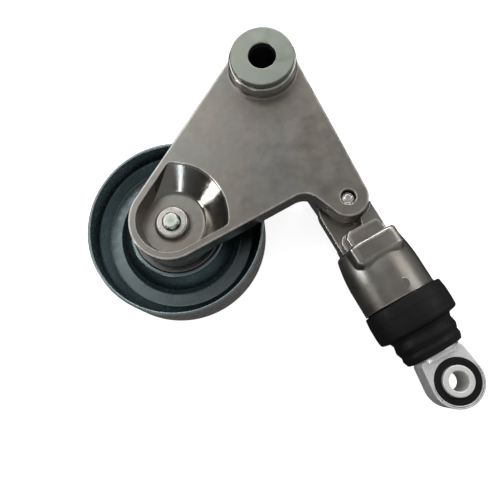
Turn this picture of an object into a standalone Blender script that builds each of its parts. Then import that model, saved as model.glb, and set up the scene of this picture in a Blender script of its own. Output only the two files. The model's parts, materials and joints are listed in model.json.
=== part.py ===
"""Belt tensioner idler: a die-cast arm that swings on a bolt sleeve, a smooth idler
pulley on a ball bearing, and a hydraulic damper between the arm and the engine.

The unit lies on its back. +Z is the pivot axis and points to the unit's front, and the
origin is on that axis in the plane of the rear mounting face. Every size below is in
millimetres. A damper piece is placed by its station, the distance from the fork pin
along the damper's axis.
"""
import math

import bmesh
import bpy
from mathutils import Matrix

MM = 0.001
MERGE = 0.00001
GAP = 0.3
OVER = 1.0

# Levels along Z.
ARM_FRONT = 36.5
ARM_BACK = 24.5
ARM_SKIN = 5.0
PULLEY_FRONT = 23.5
DAMPER_LEVEL = 18.8

# Places in plan.
PULLEY_X, PULLEY_Y = -40.25, -69.55
PIN_X, PIN_Y = 35.85, -61.19
EYE_X, EYE_Y = 78.35, -137.25
NOTCH_X, NOTCH_Y = 17.5, -68.0

# Plan radii of the arm.
PIVOT_END_R = 15.1
PULLEY_END_R = 18.0
NOTCH_R = 8.3
LUG_R = 8.7
WALL = 3.3
RIB = 3.0

# Pivot.
PIVOT_HOLE_R = 6.0
DISC_R = 14.0
DISC_THICK = 3.0
SLEEVE_R = 9.0
SLEEVE_TOP = 43.1
BUSH_PLAY = 0.15
BUSH_WALL = 1.45
BUSH_LENGTH = 15.0
SEAL_LENGTH = 1.4
SEAL_INSET = 0.5
DISC_EDGE = 0.8
REAR_BOSS_R = 14.5

# Dish round the pulley bolt.
DISH_MOUTH_R = 25.4
DISH_FLOOR_R = 14.2
DISH_FLOOR = 27.5
PAD_R = 6.1
PAD_FOOT_R = 8.0
PAD_TOP = 31.3
PULLEY_BOSS_R = 13.0
PULLEY_BOSS_BACK = 19.9

# Pulley bolt, M8.
BOLT_R = 3.85
BOLT_END = 34.2
BOLT_FLANGE_R = 8.0
BOLT_FLANGE = (3.0, 4.2)
BOLT_HEAD_R = 6.9
BOLT_HEAD_BACK = 0.3

# Bearing, 17 x 40 x 12.
BEARING_BACK, BEARING_FRONT = 6.0, 18.0
INNER_RING = (8.5, 12.0)
OUTER_RING = (16.6, 20.0)
BALL_COUNT = 8
BALL_R = 3.3
PITCH_R = 14.3
RACE_PLAY = 0.1
CAGE_R = (13.4, 15.2)
CAGE_HALF = 4.0
POCKET_R = 3.5

# Pulley shell.
PULLEY_R = 40.0
SHEET = 2.0
WEB_FRONT = 8.5
HUB_TOP = 17.3
HUB_R = 22.9
HUB_FOOT_R = 27.5

# Fork and pin.
PIN_R = 3.0
PIN_END = 35.3
PIN_HEAD_R = 5.5
PIN_HEAD = 2.0
EAR_R = 9.0
FORK_WEB = (12.6, 16.6)
FORK_TURN = math.radians(122.0)
TONGUE = (12.0, 21.0)
TONGUE_R = 11.8
TONGUE_BORE_R = 4.6

# Damper stations and radii.
DAMPER_LENGTH = math.hypot(EYE_X - PIN_X, EYE_Y - PIN_Y)
BODY_R = 16.5
BODY_START, BODY_STEP, BODY_END = 18.9, 47.4, 57.0
HEAD_HALF = 15.4
HEAD_FRONT = 16.7
BORE_R = 13.6
BORE_TOP = 26.0
SOCKET_TOP = 22.0
SNAP_RING = (54.7, 55.7)
SNAP_RING_R = (11.6, 14.7)
SLIDE_FLANGE = (52.0, 54.2)
SLIDE_FLANGE_R = 13.2

# Pressure sleeve and valve.
PRESSURE_SLEEVE = (6.1, 8.0)
PRESSURE_END = 50.0
VALVE_BALL_R = 1.9
SEAT_HOLE_R = 1.6

# Lower eye.
EYE_R = 11.2
EYE_HALF = 8.0
EYE_BORE_R = 9.95
EYE_RING = (6.75, 9.7)
EYE_SLEEVE = (4.1, 6.5)
EYE_SLEEVE_HALF = 9.5
SHANK_R = 10.6

FINE, MEDIUM, COARSE = 44, 28, 18
FULL_TURN = 2.0 * math.pi
TINY_TURN = 0.001


def clear_scene():
    for obj in list(bpy.data.objects):
        bpy.data.objects.remove(obj, do_unlink=True)


def new_collection(name):
    collection = bpy.data.collections.new(name)
    bpy.context.scene.collection.children.link(collection)
    return collection


def make_material(name, colour, roughness, metallic):
    material = bpy.data.materials.new(name)
    material.use_nodes = True
    shader = material.node_tree.nodes["Principled BSDF"]
    shader.inputs["Base Color"].default_value = (*colour, 1.0)
    shader.inputs["Roughness"].default_value = roughness
    shader.inputs["Metallic"].default_value = metallic
    return material


clear_scene()
PARTS = new_collection("belt_tensioner_idler")
CUTTERS = new_collection("cutters")

CAST = make_material("die_cast_aluminium", (0.40, 0.39, 0.37), 0.38, 1.0)
BRIGHT_CAST = make_material("bright_cast_aluminium", (0.72, 0.72, 0.70), 0.32, 1.0)
ZINC = make_material("zinc_plated_steel", (0.46, 0.50, 0.44), 0.34, 1.0)
PULLEY_STEEL = make_material("zinc_plated_sheet", (0.30, 0.36, 0.37), 0.30, 1.0)
STEEL = make_material("bearing_steel", (0.62, 0.63, 0.64), 0.22, 1.0)
BRONZE = make_material("bush_bronze", (0.55, 0.40, 0.22), 0.40, 1.0)
RUBBER = make_material("black_rubber", (0.012, 0.012, 0.014), 0.55, 0.0)
SPRING_STEEL = make_material("spring_steel", (0.22, 0.22, 0.24), 0.35, 1.0)
NYLON = make_material("cage_nylon", (0.55, 0.48, 0.34), 0.50, 0.0)


def make_frame(name, location, rotation=None):
    """An empty that stands on a joint axis and carries the pieces that turn on it."""
    empty = bpy.data.objects.new(name, None)
    matrix = rotation.to_4x4() if rotation else Matrix.Identity(4)
    matrix.translation = [value * MM for value in location]
    empty.matrix_world = matrix
    PARTS.objects.link(empty)
    return empty


AXIS_X = (EYE_X - PIN_X) / DAMPER_LENGTH
AXIS_Y = (EYE_Y - PIN_Y) / DAMPER_LENGTH
ALONG_DAMPER = Matrix(((0.0, AXIS_Y, AXIS_X), (0.0, -AXIS_X, AXIS_Y), (1.0, 0.0, 0.0)))

PIVOT = make_frame("pivot_axis", (0.0, 0.0, 0.0))
PULLEY = make_frame("pulley_axis", (PULLEY_X, PULLEY_Y, 0.0))
PIN = make_frame("pin_axis", (PIN_X, PIN_Y, 0.0))
DAMPER = make_frame("damper_axis", (PIN_X, PIN_Y, DAMPER_LEVEL), ALONG_DAMPER)
EYE = make_frame("eye_axis", (EYE_X, EYE_Y, 0.0))


def place(obj, frame, collection):
    """Links an object under its frame, keeping its local placement."""
    collection.objects.link(obj)
    obj.parent = frame
    return obj


def add_object(name, mesh, frame, material, collection):
    obj = bpy.data.objects.new(name, mesh)
    if material:
        mesh.materials.append(material)
    if collection is CUTTERS:
        obj.hide_render = True
        obj.display_type = "WIRE"
    return place(obj, frame, collection)


def shade(obj):
    obj.data.shade_smooth()
    obj.data.set_sharp_from_angle(angle=math.radians(35.0))
    return obj


def bake(obj):
    """Applies an object's modifiers, so that later cuts meet a plain closed mesh."""
    depsgraph = bpy.context.evaluated_depsgraph_get()
    mesh = bpy.data.meshes.new_from_object(obj.evaluated_get(depsgraph))
    obj.modifiers.clear()
    obj.data = mesh
    return shade(obj)


def turned(name, profile, frame, material=None, steps=MEDIUM, closed=True, collection=None):
    """A turned piece: a profile of (radius, height) points, run down the outer side."""
    mesh = bpy.data.meshes.new(name)
    points = [(radius * MM, 0.0, height * MM) for radius, height in profile]
    edges = [(i, i + 1) for i in range(len(points) - 1)]
    if closed:
        edges.append((len(points) - 1, 0))
    mesh.from_pydata(points, edges, [])
    obj = add_object(name, mesh, frame, material, collection or PARTS)
    screw = obj.modifiers.new("turn", "SCREW")
    screw.axis = "Z"
    screw.steps = steps
    screw.render_steps = steps
    screw.use_merge_vertices = True
    screw.merge_threshold = MERGE
    return bake(obj)


def ring(name, inner, outer, low, high, frame, material=None, steps=MEDIUM, chamfer=0.0,
         collection=None):
    """A plain turned ring with an optional chamfer on its outer edges."""
    profile = [(inner, high), (outer - chamfer, high)]
    if chamfer:
        profile.append((outer, high - chamfer))
        profile.append((outer, low + chamfer))
    profile += [(outer - chamfer, low), (inner, low)]
    return turned(name, profile, frame, material, steps, True, collection)


def disc(name, radius, low, high, frame, material=None, steps=MEDIUM, collection=None):
    """A solid round bar."""
    profile = [(0.0, high), (radius, high), (radius, low), (0.0, low)]
    return turned(name, profile, frame, material, steps, False, collection)


def box(name, sizes, centre, frame, material=None, collection=None, bevel=0.0, turn=0.0):
    """A block with equal bevels on all its edges."""
    mesh = bpy.data.meshes.new(name)
    shape = bmesh.new()
    scale = Matrix.Diagonal([size * MM for size in sizes]).to_4x4()
    bmesh.ops.create_cube(shape, size=1.0, matrix=scale)
    shape.to_mesh(mesh)
    shape.free()
    obj = add_object(name, mesh, frame, material, collection or PARTS)
    obj.location = [value * MM for value in centre]
    obj.rotation_euler.z = turn
    if bevel:
        edge = obj.modifiers.new("edges", "BEVEL")
        edge.width = bevel * MM
        edge.segments = 2
        bake(obj)
    return obj


def belt_outline(circles, step=math.radians(12.0)):
    """The run of a belt round circles (x, y, radius): a negative radius bends it inwards.

    The run goes anticlockwise, along the tangent between each two circles and round the
    arc on each of them.
    """
    count = len(circles)
    headings = []
    for i in range(count):
        x0, y0, r0 = circles[i]
        x1, y1, r1 = circles[(i + 1) % count]
        reach = math.hypot(x1 - x0, y1 - y0)
        headings.append(math.atan2(y1 - y0, x1 - x0) - math.asin((r1 - r0) / reach))
    points = []
    for i in range(count):
        x, y, radius = circles[i]
        start = headings[i - 1]
        bend = math.copysign(1.0, radius)
        swept = (bend * (headings[i] - start) + TINY_TURN) % FULL_TURN - TINY_TURN
        turn = bend * swept
        parts = max(1, math.ceil(abs(turn) / step))
        for k in range(parts + 1):
            heading = start + turn * k / parts
            points.append((x + radius * math.sin(heading), y - radius * math.cos(heading)))
    return points


def prism(name, outline, low, high, frame, material=None, collection=None):
    """A flat outline in plan, extruded from one level to another."""
    curve = bpy.data.curves.new(name, "CURVE")
    curve.dimensions = "2D"
    curve.fill_mode = "BOTH"
    curve.extrude = (high - low) / 2.0 * MM
    spline = curve.splines.new("POLY")
    spline.points.add(len(outline) - 1)
    for point, (x, y) in zip(spline.points, outline):
        point.co = (x * MM, y * MM, 0.0, 1.0)
    spline.use_cyclic_u = True
    source = bpy.data.objects.new(name + "_curve", curve)
    CUTTERS.objects.link(source)
    depsgraph = bpy.context.evaluated_depsgraph_get()
    mesh = bpy.data.meshes.new_from_object(source.evaluated_get(depsgraph))
    bpy.data.objects.remove(source, do_unlink=True)
    shape = bmesh.new()
    shape.from_mesh(mesh)
    bmesh.ops.remove_doubles(shape, verts=shape.verts, dist=MERGE)
    bmesh.ops.recalc_face_normals(shape, faces=shape.faces)
    bmesh.ops.dissolve_limit(shape, angle_limit=math.radians(1.0), verts=shape.verts,
                             edges=shape.edges)
    shape.to_mesh(mesh)
    shape.free()
    obj = add_object(name, mesh, frame, material, collection or PARTS)
    obj.location.z = (high + low) / 2.0 * MM
    return obj


def combine(target, other, operation):
    """Cuts, joins or trims a piece by another, which stays among the cutters."""
    boolean = target.modifiers.new(other.name, "BOOLEAN")
    boolean.operation = operation
    boolean.object = other
    return target


def cut(target, *others):
    for other in others:
        combine(target, other, "DIFFERENCE")
    return target


def join(target, *others):
    for other in others:
        combine(target, other, "UNION")
    return target


def coil(name, radius, wire, low, high, turns, frame, material, per_turn=11):
    """A helical spring of round wire, from its first to its last centre level."""
    curve = bpy.data.curves.new(name, "CURVE")
    curve.dimensions = "3D"
    curve.bevel_depth = wire * MM
    curve.bevel_resolution = 2
    curve.use_fill_caps = True
    spline = curve.splines.new("POLY")
    count = int(turns * per_turn)
    spline.points.add(count)
    for i, point in enumerate(spline.points):
        angle = FULL_TURN * i / per_turn
        level = low + (high - low) * i / count
        point.co = (radius * math.cos(angle) * MM, radius * math.sin(angle) * MM,
                    level * MM, 1.0)
    obj = bpy.data.objects.new(name, curve)
    curve.materials.append(material)
    return place(obj, frame, PARTS)


# ---------------------------------------------------------------- arm and its pivot

def arm_circles(inset=0.0):
    """The circles of the arm's outline in plan, drawn in by an inset."""
    return [
        (0.0, 0.0, PIVOT_END_R - inset),
        (PULLEY_X, PULLEY_Y, PULLEY_END_R - inset),
        (NOTCH_X, NOTCH_Y, -NOTCH_R - inset),
        (PIN_X, PIN_Y, LUG_R - inset),
    ]


def make_dish():
    """The conical dish round the bolt, held inside the arm's rim."""
    slope = (DISH_MOUTH_R - DISH_FLOOR_R) / (ARM_FRONT - DISH_FLOOR)
    top_r = DISH_MOUTH_R + slope * OVER
    profile = [
        (0.0, ARM_FRONT + OVER),
        (top_r, ARM_FRONT + OVER),
        (DISH_FLOOR_R, DISH_FLOOR),
        (PAD_FOOT_R, DISH_FLOOR),
        (PAD_R, DISH_FLOOR + OVER),
        (PAD_R, PAD_TOP),
        (0.0, PAD_TOP),
    ]
    dish = turned("dish_cutter", profile, PULLEY, steps=FINE, closed=False,
                  collection=CUTTERS)
    rim = prism("dish_rim", belt_outline(arm_circles(WALL)), ARM_BACK, ARM_FRONT + 2.0 * OVER,
                PIVOT, collection=CUTTERS)
    return combine(dish, rim, "INTERSECT")


def make_pockets():
    """The lightening pockets in the arm's back, between its bosses and ribs."""
    pockets = prism("pocket_cutter", belt_outline(arm_circles(WALL + OVER)),
                    ARM_BACK - OVER, ARM_FRONT - ARM_SKIN, PIVOT, collection=CUTTERS)
    low, high = ARM_BACK - 2.0 * OVER, ARM_FRONT
    pivot_keep = disc("pivot_keep", PIVOT_END_R + WALL, low, high, PIVOT, collection=CUTTERS)
    dish_keep = disc("dish_keep", DISH_MOUTH_R + WALL / 2.0, low, high, PULLEY,
                     collection=CUTTERS)
    lug_keep = disc("lug_keep", FORK_WEB[1] + WALL, low, high, PIN, collection=CUTTERS)
    rib_length = math.hypot(NOTCH_X, NOTCH_Y)
    rib_turn = math.atan2(NOTCH_Y, NOTCH_X)
    rib = box("rib", (rib_length, RIB, high - low), (NOTCH_X / 2.0, NOTCH_Y / 2.0,
              (high + low) / 2.0), PIVOT, collection=CUTTERS, turn=rib_turn)
    brace_y = (PULLEY_Y + PIN_Y) / 4.0 - RIB
    brace = box("brace", (PIN_X - PULLEY_X, RIB, high - low), (0.0, brace_y,
                (high + low) / 2.0), PIVOT, collection=CUTTERS)
    return cut(pockets, pivot_keep, dish_keep, lug_keep, rib, brace)


def make_fork():
    """The rear ear and the web that ties it to the arm, behind the damper's tongue."""
    across, up = math.cos(FORK_TURN), math.sin(FORK_TURN)
    web_in, web_out = FORK_WEB
    low, high = PIN_HEAD + GAP, TONGUE[0] - GAP
    far = web_out - OVER
    side = EAR_R - OVER
    circles = [
        (0.0, 0.0, EAR_R),
        (across * far + up * side, up * far - across * side, OVER),
        (across * far - up * side, up * far + across * side, OVER),
    ]
    ear = prism("rear_ear", belt_outline(circles), low, high, PIN, collection=CUTTERS)
    middle = (web_in + web_out) / 2.0
    depth = ARM_BACK + OVER - low
    web = box("fork_web", (web_out - web_in, 2.0 * EAR_R - OVER, depth),
              (across * middle, up * middle, low + depth / 2.0), PIN, collection=CUTTERS,
              turn=FORK_TURN)
    return ear, web


def make_arm():
    arm = prism("arm_casting", belt_outline(arm_circles()), ARM_BACK, ARM_FRONT, PIVOT, CAST)
    inside = (ARM_BACK + ARM_FRONT) / 2.0
    front_boss = turned("front_boss", [
        (0.0, SLEEVE_TOP), (PIVOT_END_R - OVER, SLEEVE_TOP), (PIVOT_END_R, SLEEVE_TOP - OVER),
        (PIVOT_END_R, inside), (0.0, inside)], PIVOT, steps=FINE, closed=False,
        collection=CUTTERS)
    rear_boss = disc("rear_boss", REAR_BOSS_R, DISC_THICK + GAP, inside, PIVOT, steps=FINE,
                     collection=CUTTERS)
    pulley_boss = disc("pulley_boss", PULLEY_BOSS_R, PULLEY_BOSS_BACK, DISH_FLOOR - OVER,
                       PULLEY, collection=CUTTERS)
    lug_boss = disc("lug_boss", LUG_R - OVER, TONGUE[1] + GAP, inside, PIN,
                    collection=CUTTERS)
    pivot_bore = disc("pivot_bore", SLEEVE_R + BUSH_PLAY + BUSH_WALL + GAP, -OVER,
                      SLEEVE_TOP + OVER, PIVOT, collection=CUTTERS)
    bolt_bore = disc("bolt_bore", BOLT_R + GAP, PULLEY_BOSS_BACK - OVER, ARM_FRONT, PULLEY,
                     steps=COARSE, collection=CUTTERS)
    pin_bore = disc("pin_bore", PIN_R + GAP, -OVER, ARM_FRONT + OVER, PIN, steps=COARSE,
                    collection=CUTTERS)
    join(arm, front_boss, rear_boss)
    cut(arm, make_pockets(), make_dish())
    join(arm, pulley_boss, lug_boss, *make_fork())
    cut(arm, pivot_bore, bolt_bore, pin_bore)
    return shade(arm)


def make_pivot():
    """The bolt sleeve, its end discs, and the bushes and seals that the arm turns on."""
    top = SLEEVE_TOP + GAP
    ring("pivot_front_disc", PIVOT_HOLE_R, DISC_R, top, top + DISC_THICK, PIVOT, ZINC,
         FINE, DISC_EDGE)
    ring("pivot_rear_disc", PIVOT_HOLE_R, DISC_R, 0.0, DISC_THICK, PIVOT, ZINC, MEDIUM,
         DISC_EDGE)
    ring("pivot_sleeve", PIVOT_HOLE_R, SLEEVE_R, DISC_THICK + GAP, SLEEVE_TOP, PIVOT, STEEL)
    inner = SLEEVE_R + BUSH_PLAY
    outer = inner + BUSH_WALL
    rear = DISC_THICK + GAP + SEAL_INSET + SEAL_LENGTH + GAP
    front = SLEEVE_TOP - SEAL_INSET - SEAL_LENGTH - GAP
    ring("pivot_bush_rear", inner, outer, rear, rear + BUSH_LENGTH, PIVOT, BRONZE)
    ring("pivot_bush_front", inner, outer, front - BUSH_LENGTH, front, PIVOT, BRONZE)
    ring("pivot_seal_rear", inner, outer, rear - GAP - SEAL_LENGTH, rear - GAP, PIVOT,
         RUBBER)
    ring("pivot_seal_front", inner, outer, front + GAP, front + GAP + SEAL_LENGTH, PIVOT,
         RUBBER)


# ---------------------------------------------------------------- pulley and bearing

def race(edge_r, inward):
    """The groove that the balls run in: an arc about the pitch circle at mid width."""
    middle = (BEARING_BACK + BEARING_FRONT) / 2.0
    groove = BALL_R + RACE_PLAY
    reach = abs(PITCH_R - edge_r)
    half = math.acos(reach / groove)
    side = -1.0 if inward else 1.0
    count = 4
    angles = [half - 2.0 * half * k / count for k in range(count + 1)]
    return [(PITCH_R + side * groove * math.cos(a), middle + groove * math.sin(a))
            for a in angles]


def make_bearing():
    inner_r, inner_edge = INNER_RING
    outer_edge, outer_r = OUTER_RING
    profile = [(inner_r, BEARING_FRONT), (inner_edge, BEARING_FRONT)]
    profile += race(inner_edge, True)
    profile += [(inner_edge, BEARING_BACK), (inner_r, BEARING_BACK)]
    turned("bearing_inner_ring", profile, PULLEY, STEEL)
    profile = [(outer_edge, BEARING_FRONT), (outer_r, BEARING_FRONT),
               (outer_r, BEARING_BACK), (outer_edge, BEARING_BACK)]
    profile += reversed(race(outer_edge, False))
    turned("bearing_outer_ring", profile, PULLEY, STEEL)
    seal_in, seal_out, seal = inner_edge + GAP, outer_edge - GAP, 0.8
    inset = 0.5
    ring("bearing_seal_front", seal_in, seal_out, BEARING_FRONT - inset - seal,
         BEARING_FRONT - inset, PULLEY, RUBBER)
    ring("bearing_seal_rear", seal_in, seal_out, BEARING_BACK + inset,
         BEARING_BACK + inset + seal, PULLEY, RUBBER)
    make_balls((BEARING_BACK + BEARING_FRONT) / 2.0)


def make_balls(middle):
    cage = ring("bearing_cage", CAGE_R[0], CAGE_R[1], middle - CAGE_HALF,
                middle + CAGE_HALF, PULLEY, NYLON)
    for i in range(BALL_COUNT):
        angle = FULL_TURN * i / BALL_COUNT
        spot = (PITCH_R * math.cos(angle) * MM, PITCH_R * math.sin(angle) * MM, middle * MM)
        mesh = bpy.data.meshes.new("bearing_ball")
        shape = bmesh.new()
        bmesh.ops.create_uvsphere(shape, u_segments=10, v_segments=6, radius=BALL_R * MM)
        shape.to_mesh(mesh)
        shape.free()
        ball = add_object(f"bearing_ball_{i + 1}", mesh, PULLEY, STEEL, PARTS)
        ball.location = spot
        shade(ball)
        pocket = disc(f"ball_pocket_{i + 1}", POCKET_R, -PITCH_R / 3.0, PITCH_R / 3.0,
                      PULLEY, steps=14, collection=CUTTERS)
        pocket.location = spot
        pocket.rotation_euler = (0.0, math.pi / 2.0, angle)
        cut(cage, pocket)


def make_pulley_shell():
    """Rim, web and bearing hub in one pressed shell."""
    inner = PULLEY_R - SHEET
    hub_bore = OUTER_RING[1] + GAP
    web_back = WEB_FRONT - SHEET
    lip = 1.5
    lip_back = BEARING_BACK - GAP - lip
    profile = [
        (inner, PULLEY_FRONT), (PULLEY_R - 0.5, PULLEY_FRONT), (PULLEY_R, PULLEY_FRONT - 0.5),
        (PULLEY_R, 0.5), (PULLEY_R - 0.5, 0.0), (inner, 0.0), (inner, web_back - 1.0),
        (inner - 1.0, web_back), (hub_bore + 3.0, web_back), (hub_bore + 2.0, lip_back),
        (hub_bore - 2.0, lip_back), (hub_bore - 2.0, lip_back + lip), (hub_bore,
        lip_back + lip), (hub_bore, HUB_TOP - 0.6), (hub_bore + 0.7, HUB_TOP),
        (HUB_R - 0.9, HUB_TOP), (HUB_R, HUB_TOP - 1.0), (HUB_R + 1.0, WEB_FRONT + 3.0),
        (HUB_R + 2.4, WEB_FRONT + 0.8), (HUB_FOOT_R, WEB_FRONT), (inner - 1.7, WEB_FRONT),
        (inner, WEB_FRONT + 1.7),
    ]
    turned("pulley_shell", profile, PULLEY, PULLEY_STEEL, FINE)


def make_pulley_fixing():
    """Bolt, flanged spacer and dust shield, which stay still with the arm."""
    flange_back, flange_front = BOLT_FLANGE
    end = 0.9
    bolt = turned("pulley_bolt", [
        (0.0, BOLT_END), (BOLT_R - end, BOLT_END), (BOLT_R, BOLT_END - end),
        (BOLT_R, flange_front), (BOLT_FLANGE_R, flange_front), (BOLT_FLANGE_R, flange_back),
        (0.0, flange_back)], PULLEY, ZINC, COARSE, False)
    head = disc("bolt_head", BOLT_HEAD_R, BOLT_HEAD_BACK, flange_back + end / 2.0, PULLEY,
                steps=6, collection=CUTTERS)
    join(bolt, head)
    spacer_r, spacer_flange_r = INNER_RING[0] - GAP, 11.0
    back = flange_front + GAP
    step = BEARING_BACK - GAP
    hole = BOLT_R + GAP
    turned("bearing_spacer", [
        (hole, BEARING_FRONT - 0.1), (spacer_r, BEARING_FRONT - 0.1), (spacer_r, step),
        (spacer_flange_r, step), (spacer_flange_r, back), (hole, back)], PULLEY, ZINC)
    shield_back, shield_front = BEARING_FRONT + GAP, PULLEY_BOSS_BACK - GAP
    dish = 0.4
    turned("dust_shield", [
        (hole, shield_front), (12.0, shield_front), (17.5, shield_front - dish),
        (17.5, shield_back), (12.0, shield_back + dish), (hole, shield_back + dish)],
        PULLEY, ZINC)


# ---------------------------------------------------------------- damper, arm side

def dome(radius, top, rise, count=3):
    """The profile of a domed end, from its crown to its rim."""
    angles = [math.pi / 2.0 * k / count for k in range(count + 1)]
    return [(radius * math.sin(a), top - rise + rise * math.cos(a)) for a in angles]


def make_pin():
    rise, edge, inset = 1.5, 0.4, 0.2
    profile = dome(PIN_R, PIN_END, rise)
    profile += [(PIN_R, PIN_HEAD), (PIN_HEAD_R, PIN_HEAD), (PIN_HEAD_R, edge),
                (PIN_HEAD_R - edge, 0.0), (0.0, 0.0)]
    turned("damper_pin", profile, PIN, STEEL, COARSE, False)
    ring("pin_bush", PIN_R + BUSH_PLAY, TONGUE_BORE_R - GAP, TONGUE[0] + inset,
         TONGUE[1] - inset, PIN, BRONZE, COARSE)


def make_housing():
    """Tongue, neck with a seat for the lug's end, squared head and round body."""
    head_length, head_edge, skirt_step = 13.6, 5.0, 0.8
    middle = BODY_START + head_length / 2.0
    housing = disc("damper_housing", BODY_R, middle, BODY_STEP, DAMPER, CAST, FINE)
    skirt = disc("boot_seat", BODY_R - skirt_step, BODY_STEP - OVER, BODY_END, DAMPER,
                 steps=FINE, collection=CUTTERS)
    head = box("squared_head", (2.0 * HEAD_FRONT, 2.0 * HEAD_HALF, head_length),
               (0.0, 0.0, middle), DAMPER, collection=CUTTERS, bevel=head_edge)
    neck_start, neck_front, neck_half, neck_edge = 4.0, 13.0, 11.6, 1.5
    neck_length = BODY_START - neck_start + 2.0 * OVER
    neck = box("neck", (2.0 * neck_front, 2.0 * neck_half, neck_length),
               (0.0, 0.0, neck_start + neck_length / 2.0), DAMPER, collection=CUTTERS,
               bevel=neck_edge)
    reach_x, reach_y = AXIS_X * BODY_START, AXIS_Y * BODY_START
    tongue = prism("tongue", belt_outline([(0.0, 0.0, TONGUE_R),
                   (reach_x, reach_y, TONGUE_R)]), TONGUE[0], TONGUE[1], PIN,
                   collection=CUTTERS)
    seat_r = LUG_R + neck_edge
    front_seat = disc("lug_seat", seat_r, TONGUE[1], ARM_FRONT + OVER, PIN,
                      collection=CUTTERS)
    rear_seat = disc("ear_seat", seat_r + GAP, -2.0 * OVER, TONGUE[0], PIN,
                     collection=CUTTERS)
    relief_end = 11.8
    relief = box("swing_relief", (neck_front, neck_half + 2.0 * OVER, relief_end),
                 (TONGUE[1] - DAMPER_LEVEL + neck_front / 2.0, neck_half / 2.0 + OVER,
                  relief_end / 2.0), DAMPER, collection=CUTTERS)
    rear_relief = box("rear_relief", (neck_front, neck_half + 2.0 * OVER, relief_end),
                      (TONGUE[0] - DAMPER_LEVEL - neck_front / 2.0,
                       neck_half / 2.0 + OVER, relief_end / 2.0), DAMPER,
                      collection=CUTTERS)
    cut(neck, front_seat, rear_seat, relief, rear_relief)
    bore = disc("housing_bore", BORE_R, BORE_TOP, BODY_END + OVER, DAMPER,
                collection=CUTTERS)
    socket = disc("sleeve_socket", PRESSURE_SLEEVE[1] + GAP, SOCKET_TOP, BORE_TOP + OVER, DAMPER,
                  collection=CUTTERS)
    groove = ring("snap_groove", BORE_R - OVER, SNAP_RING_R[1] + GAP, SNAP_RING[0] - GAP,
                  SNAP_RING[1] + GAP, DAMPER, collection=CUTTERS)
    tongue_bore = disc("tongue_bore", TONGUE_BORE_R, TONGUE[0] - OVER, TONGUE[1] + OVER,
                       PIN, steps=COARSE, collection=CUTTERS)
    join(housing, skirt, head, neck, tongue)
    cut(housing, bore, socket, groove, tongue_bore)
    return shade(housing)


def make_valve():
    """Pressure sleeve with its check valve: seat, ball, spring and cage."""
    top = SOCKET_TOP + GAP
    sleeve_in, sleeve_out = PRESSURE_SLEEVE
    ring("pressure_sleeve", sleeve_in, sleeve_out, top, PRESSURE_END, DAMPER, STEEL)
    plug_r = sleeve_in - GAP
    seat_length, cage_length, cage_in, cage_wall = 2.0, 7.1, 3.0, 1.2
    seat_top = top + GAP
    seat_end = seat_top + seat_length
    ring("valve_seat", SEAT_HOLE_R, plug_r, seat_top, seat_end, DAMPER, STEEL, COARSE)
    ball_level = seat_end + math.sqrt(VALVE_BALL_R ** 2 - SEAT_HOLE_R ** 2) + BUSH_PLAY
    mesh = bpy.data.meshes.new("check_ball")
    shape = bmesh.new()
    bmesh.ops.create_uvsphere(shape, u_segments=10, v_segments=6, radius=VALVE_BALL_R * MM)
    shape.to_mesh(mesh)
    shape.free()
    ball = add_object("check_ball", mesh, DAMPER, STEEL, PARTS)
    ball.location.z = ball_level * MM
    shade(ball)
    cage_top = seat_end + GAP
    cage_end = cage_top + cage_length
    cage_floor = cage_end - cage_wall
    turned("valve_cage", [
        (cage_in, cage_top), (cage_in, cage_floor), (OVER, cage_floor), (OVER, cage_end),
        (plug_r, cage_end), (plug_r, cage_top)], DAMPER, STEEL, COARSE)
    coil_r, wire = 1.5, 0.2
    clear = wire + BUSH_PLAY
    coil("valve_spring", coil_r, wire, ball_level + VALVE_BALL_R + clear, cage_floor - clear,
         3, DAMPER, SPRING_STEEL, 8)


def make_spring_and_stop():
    mean_r, wire, turns = 10.9, 1.1, 5
    coil("return_spring", mean_r, wire, BORE_TOP + wire + GAP, SLIDE_FLANGE[0] - wire - GAP,
         turns, DAMPER, SPRING_STEEL)
    ring("snap_ring", *SNAP_RING_R, *SNAP_RING, DAMPER, SPRING_STEEL)


def make_boot():
    """Rubber boot: a thick cuff on the housing and a narrower sock on the eye's shank."""
    outer = [(17.2, 47.7), (18.1, 49.0), (18.5, 54.0), (18.3, 59.6), (17.3, 61.0),
             (14.4, 61.8), (13.6, 63.4), (14.2, 66.4), (13.1, 68.6), (13.6, 70.2),
             (12.5, 73.4)]
    inner = [(11.0, 73.4), (11.0, 71.0), (11.8, 68.6), (12.2, 61.2), (14.4, 58.6),
             (14.4, 57.4), (16.0, 57.4), (16.0, 47.7)]
    turned("rubber_boot", (outer + inner)[::-1], DAMPER, RUBBER)


# ---------------------------------------------------------------- damper, engine side

def make_plunger():
    radius, top, end = 5.85, 43.5, 69.2
    groove_r, groove_top, groove_end = 4.8, 45.0, 46.8
    turned("plunger", [
        (0.0, end), (radius, end), (radius, groove_end), (groove_r, groove_end),
        (groove_r, groove_top), (radius, groove_top), (radius, top + 0.5),
        (radius - 0.5, top), (0.0, top)], DAMPER, STEEL, MEDIUM, False)
    ring("plunger_seal", groove_r + 0.2, radius + 0.1, groove_top + 0.2, groove_end - 0.2,
         DAMPER, RUBBER)


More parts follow.
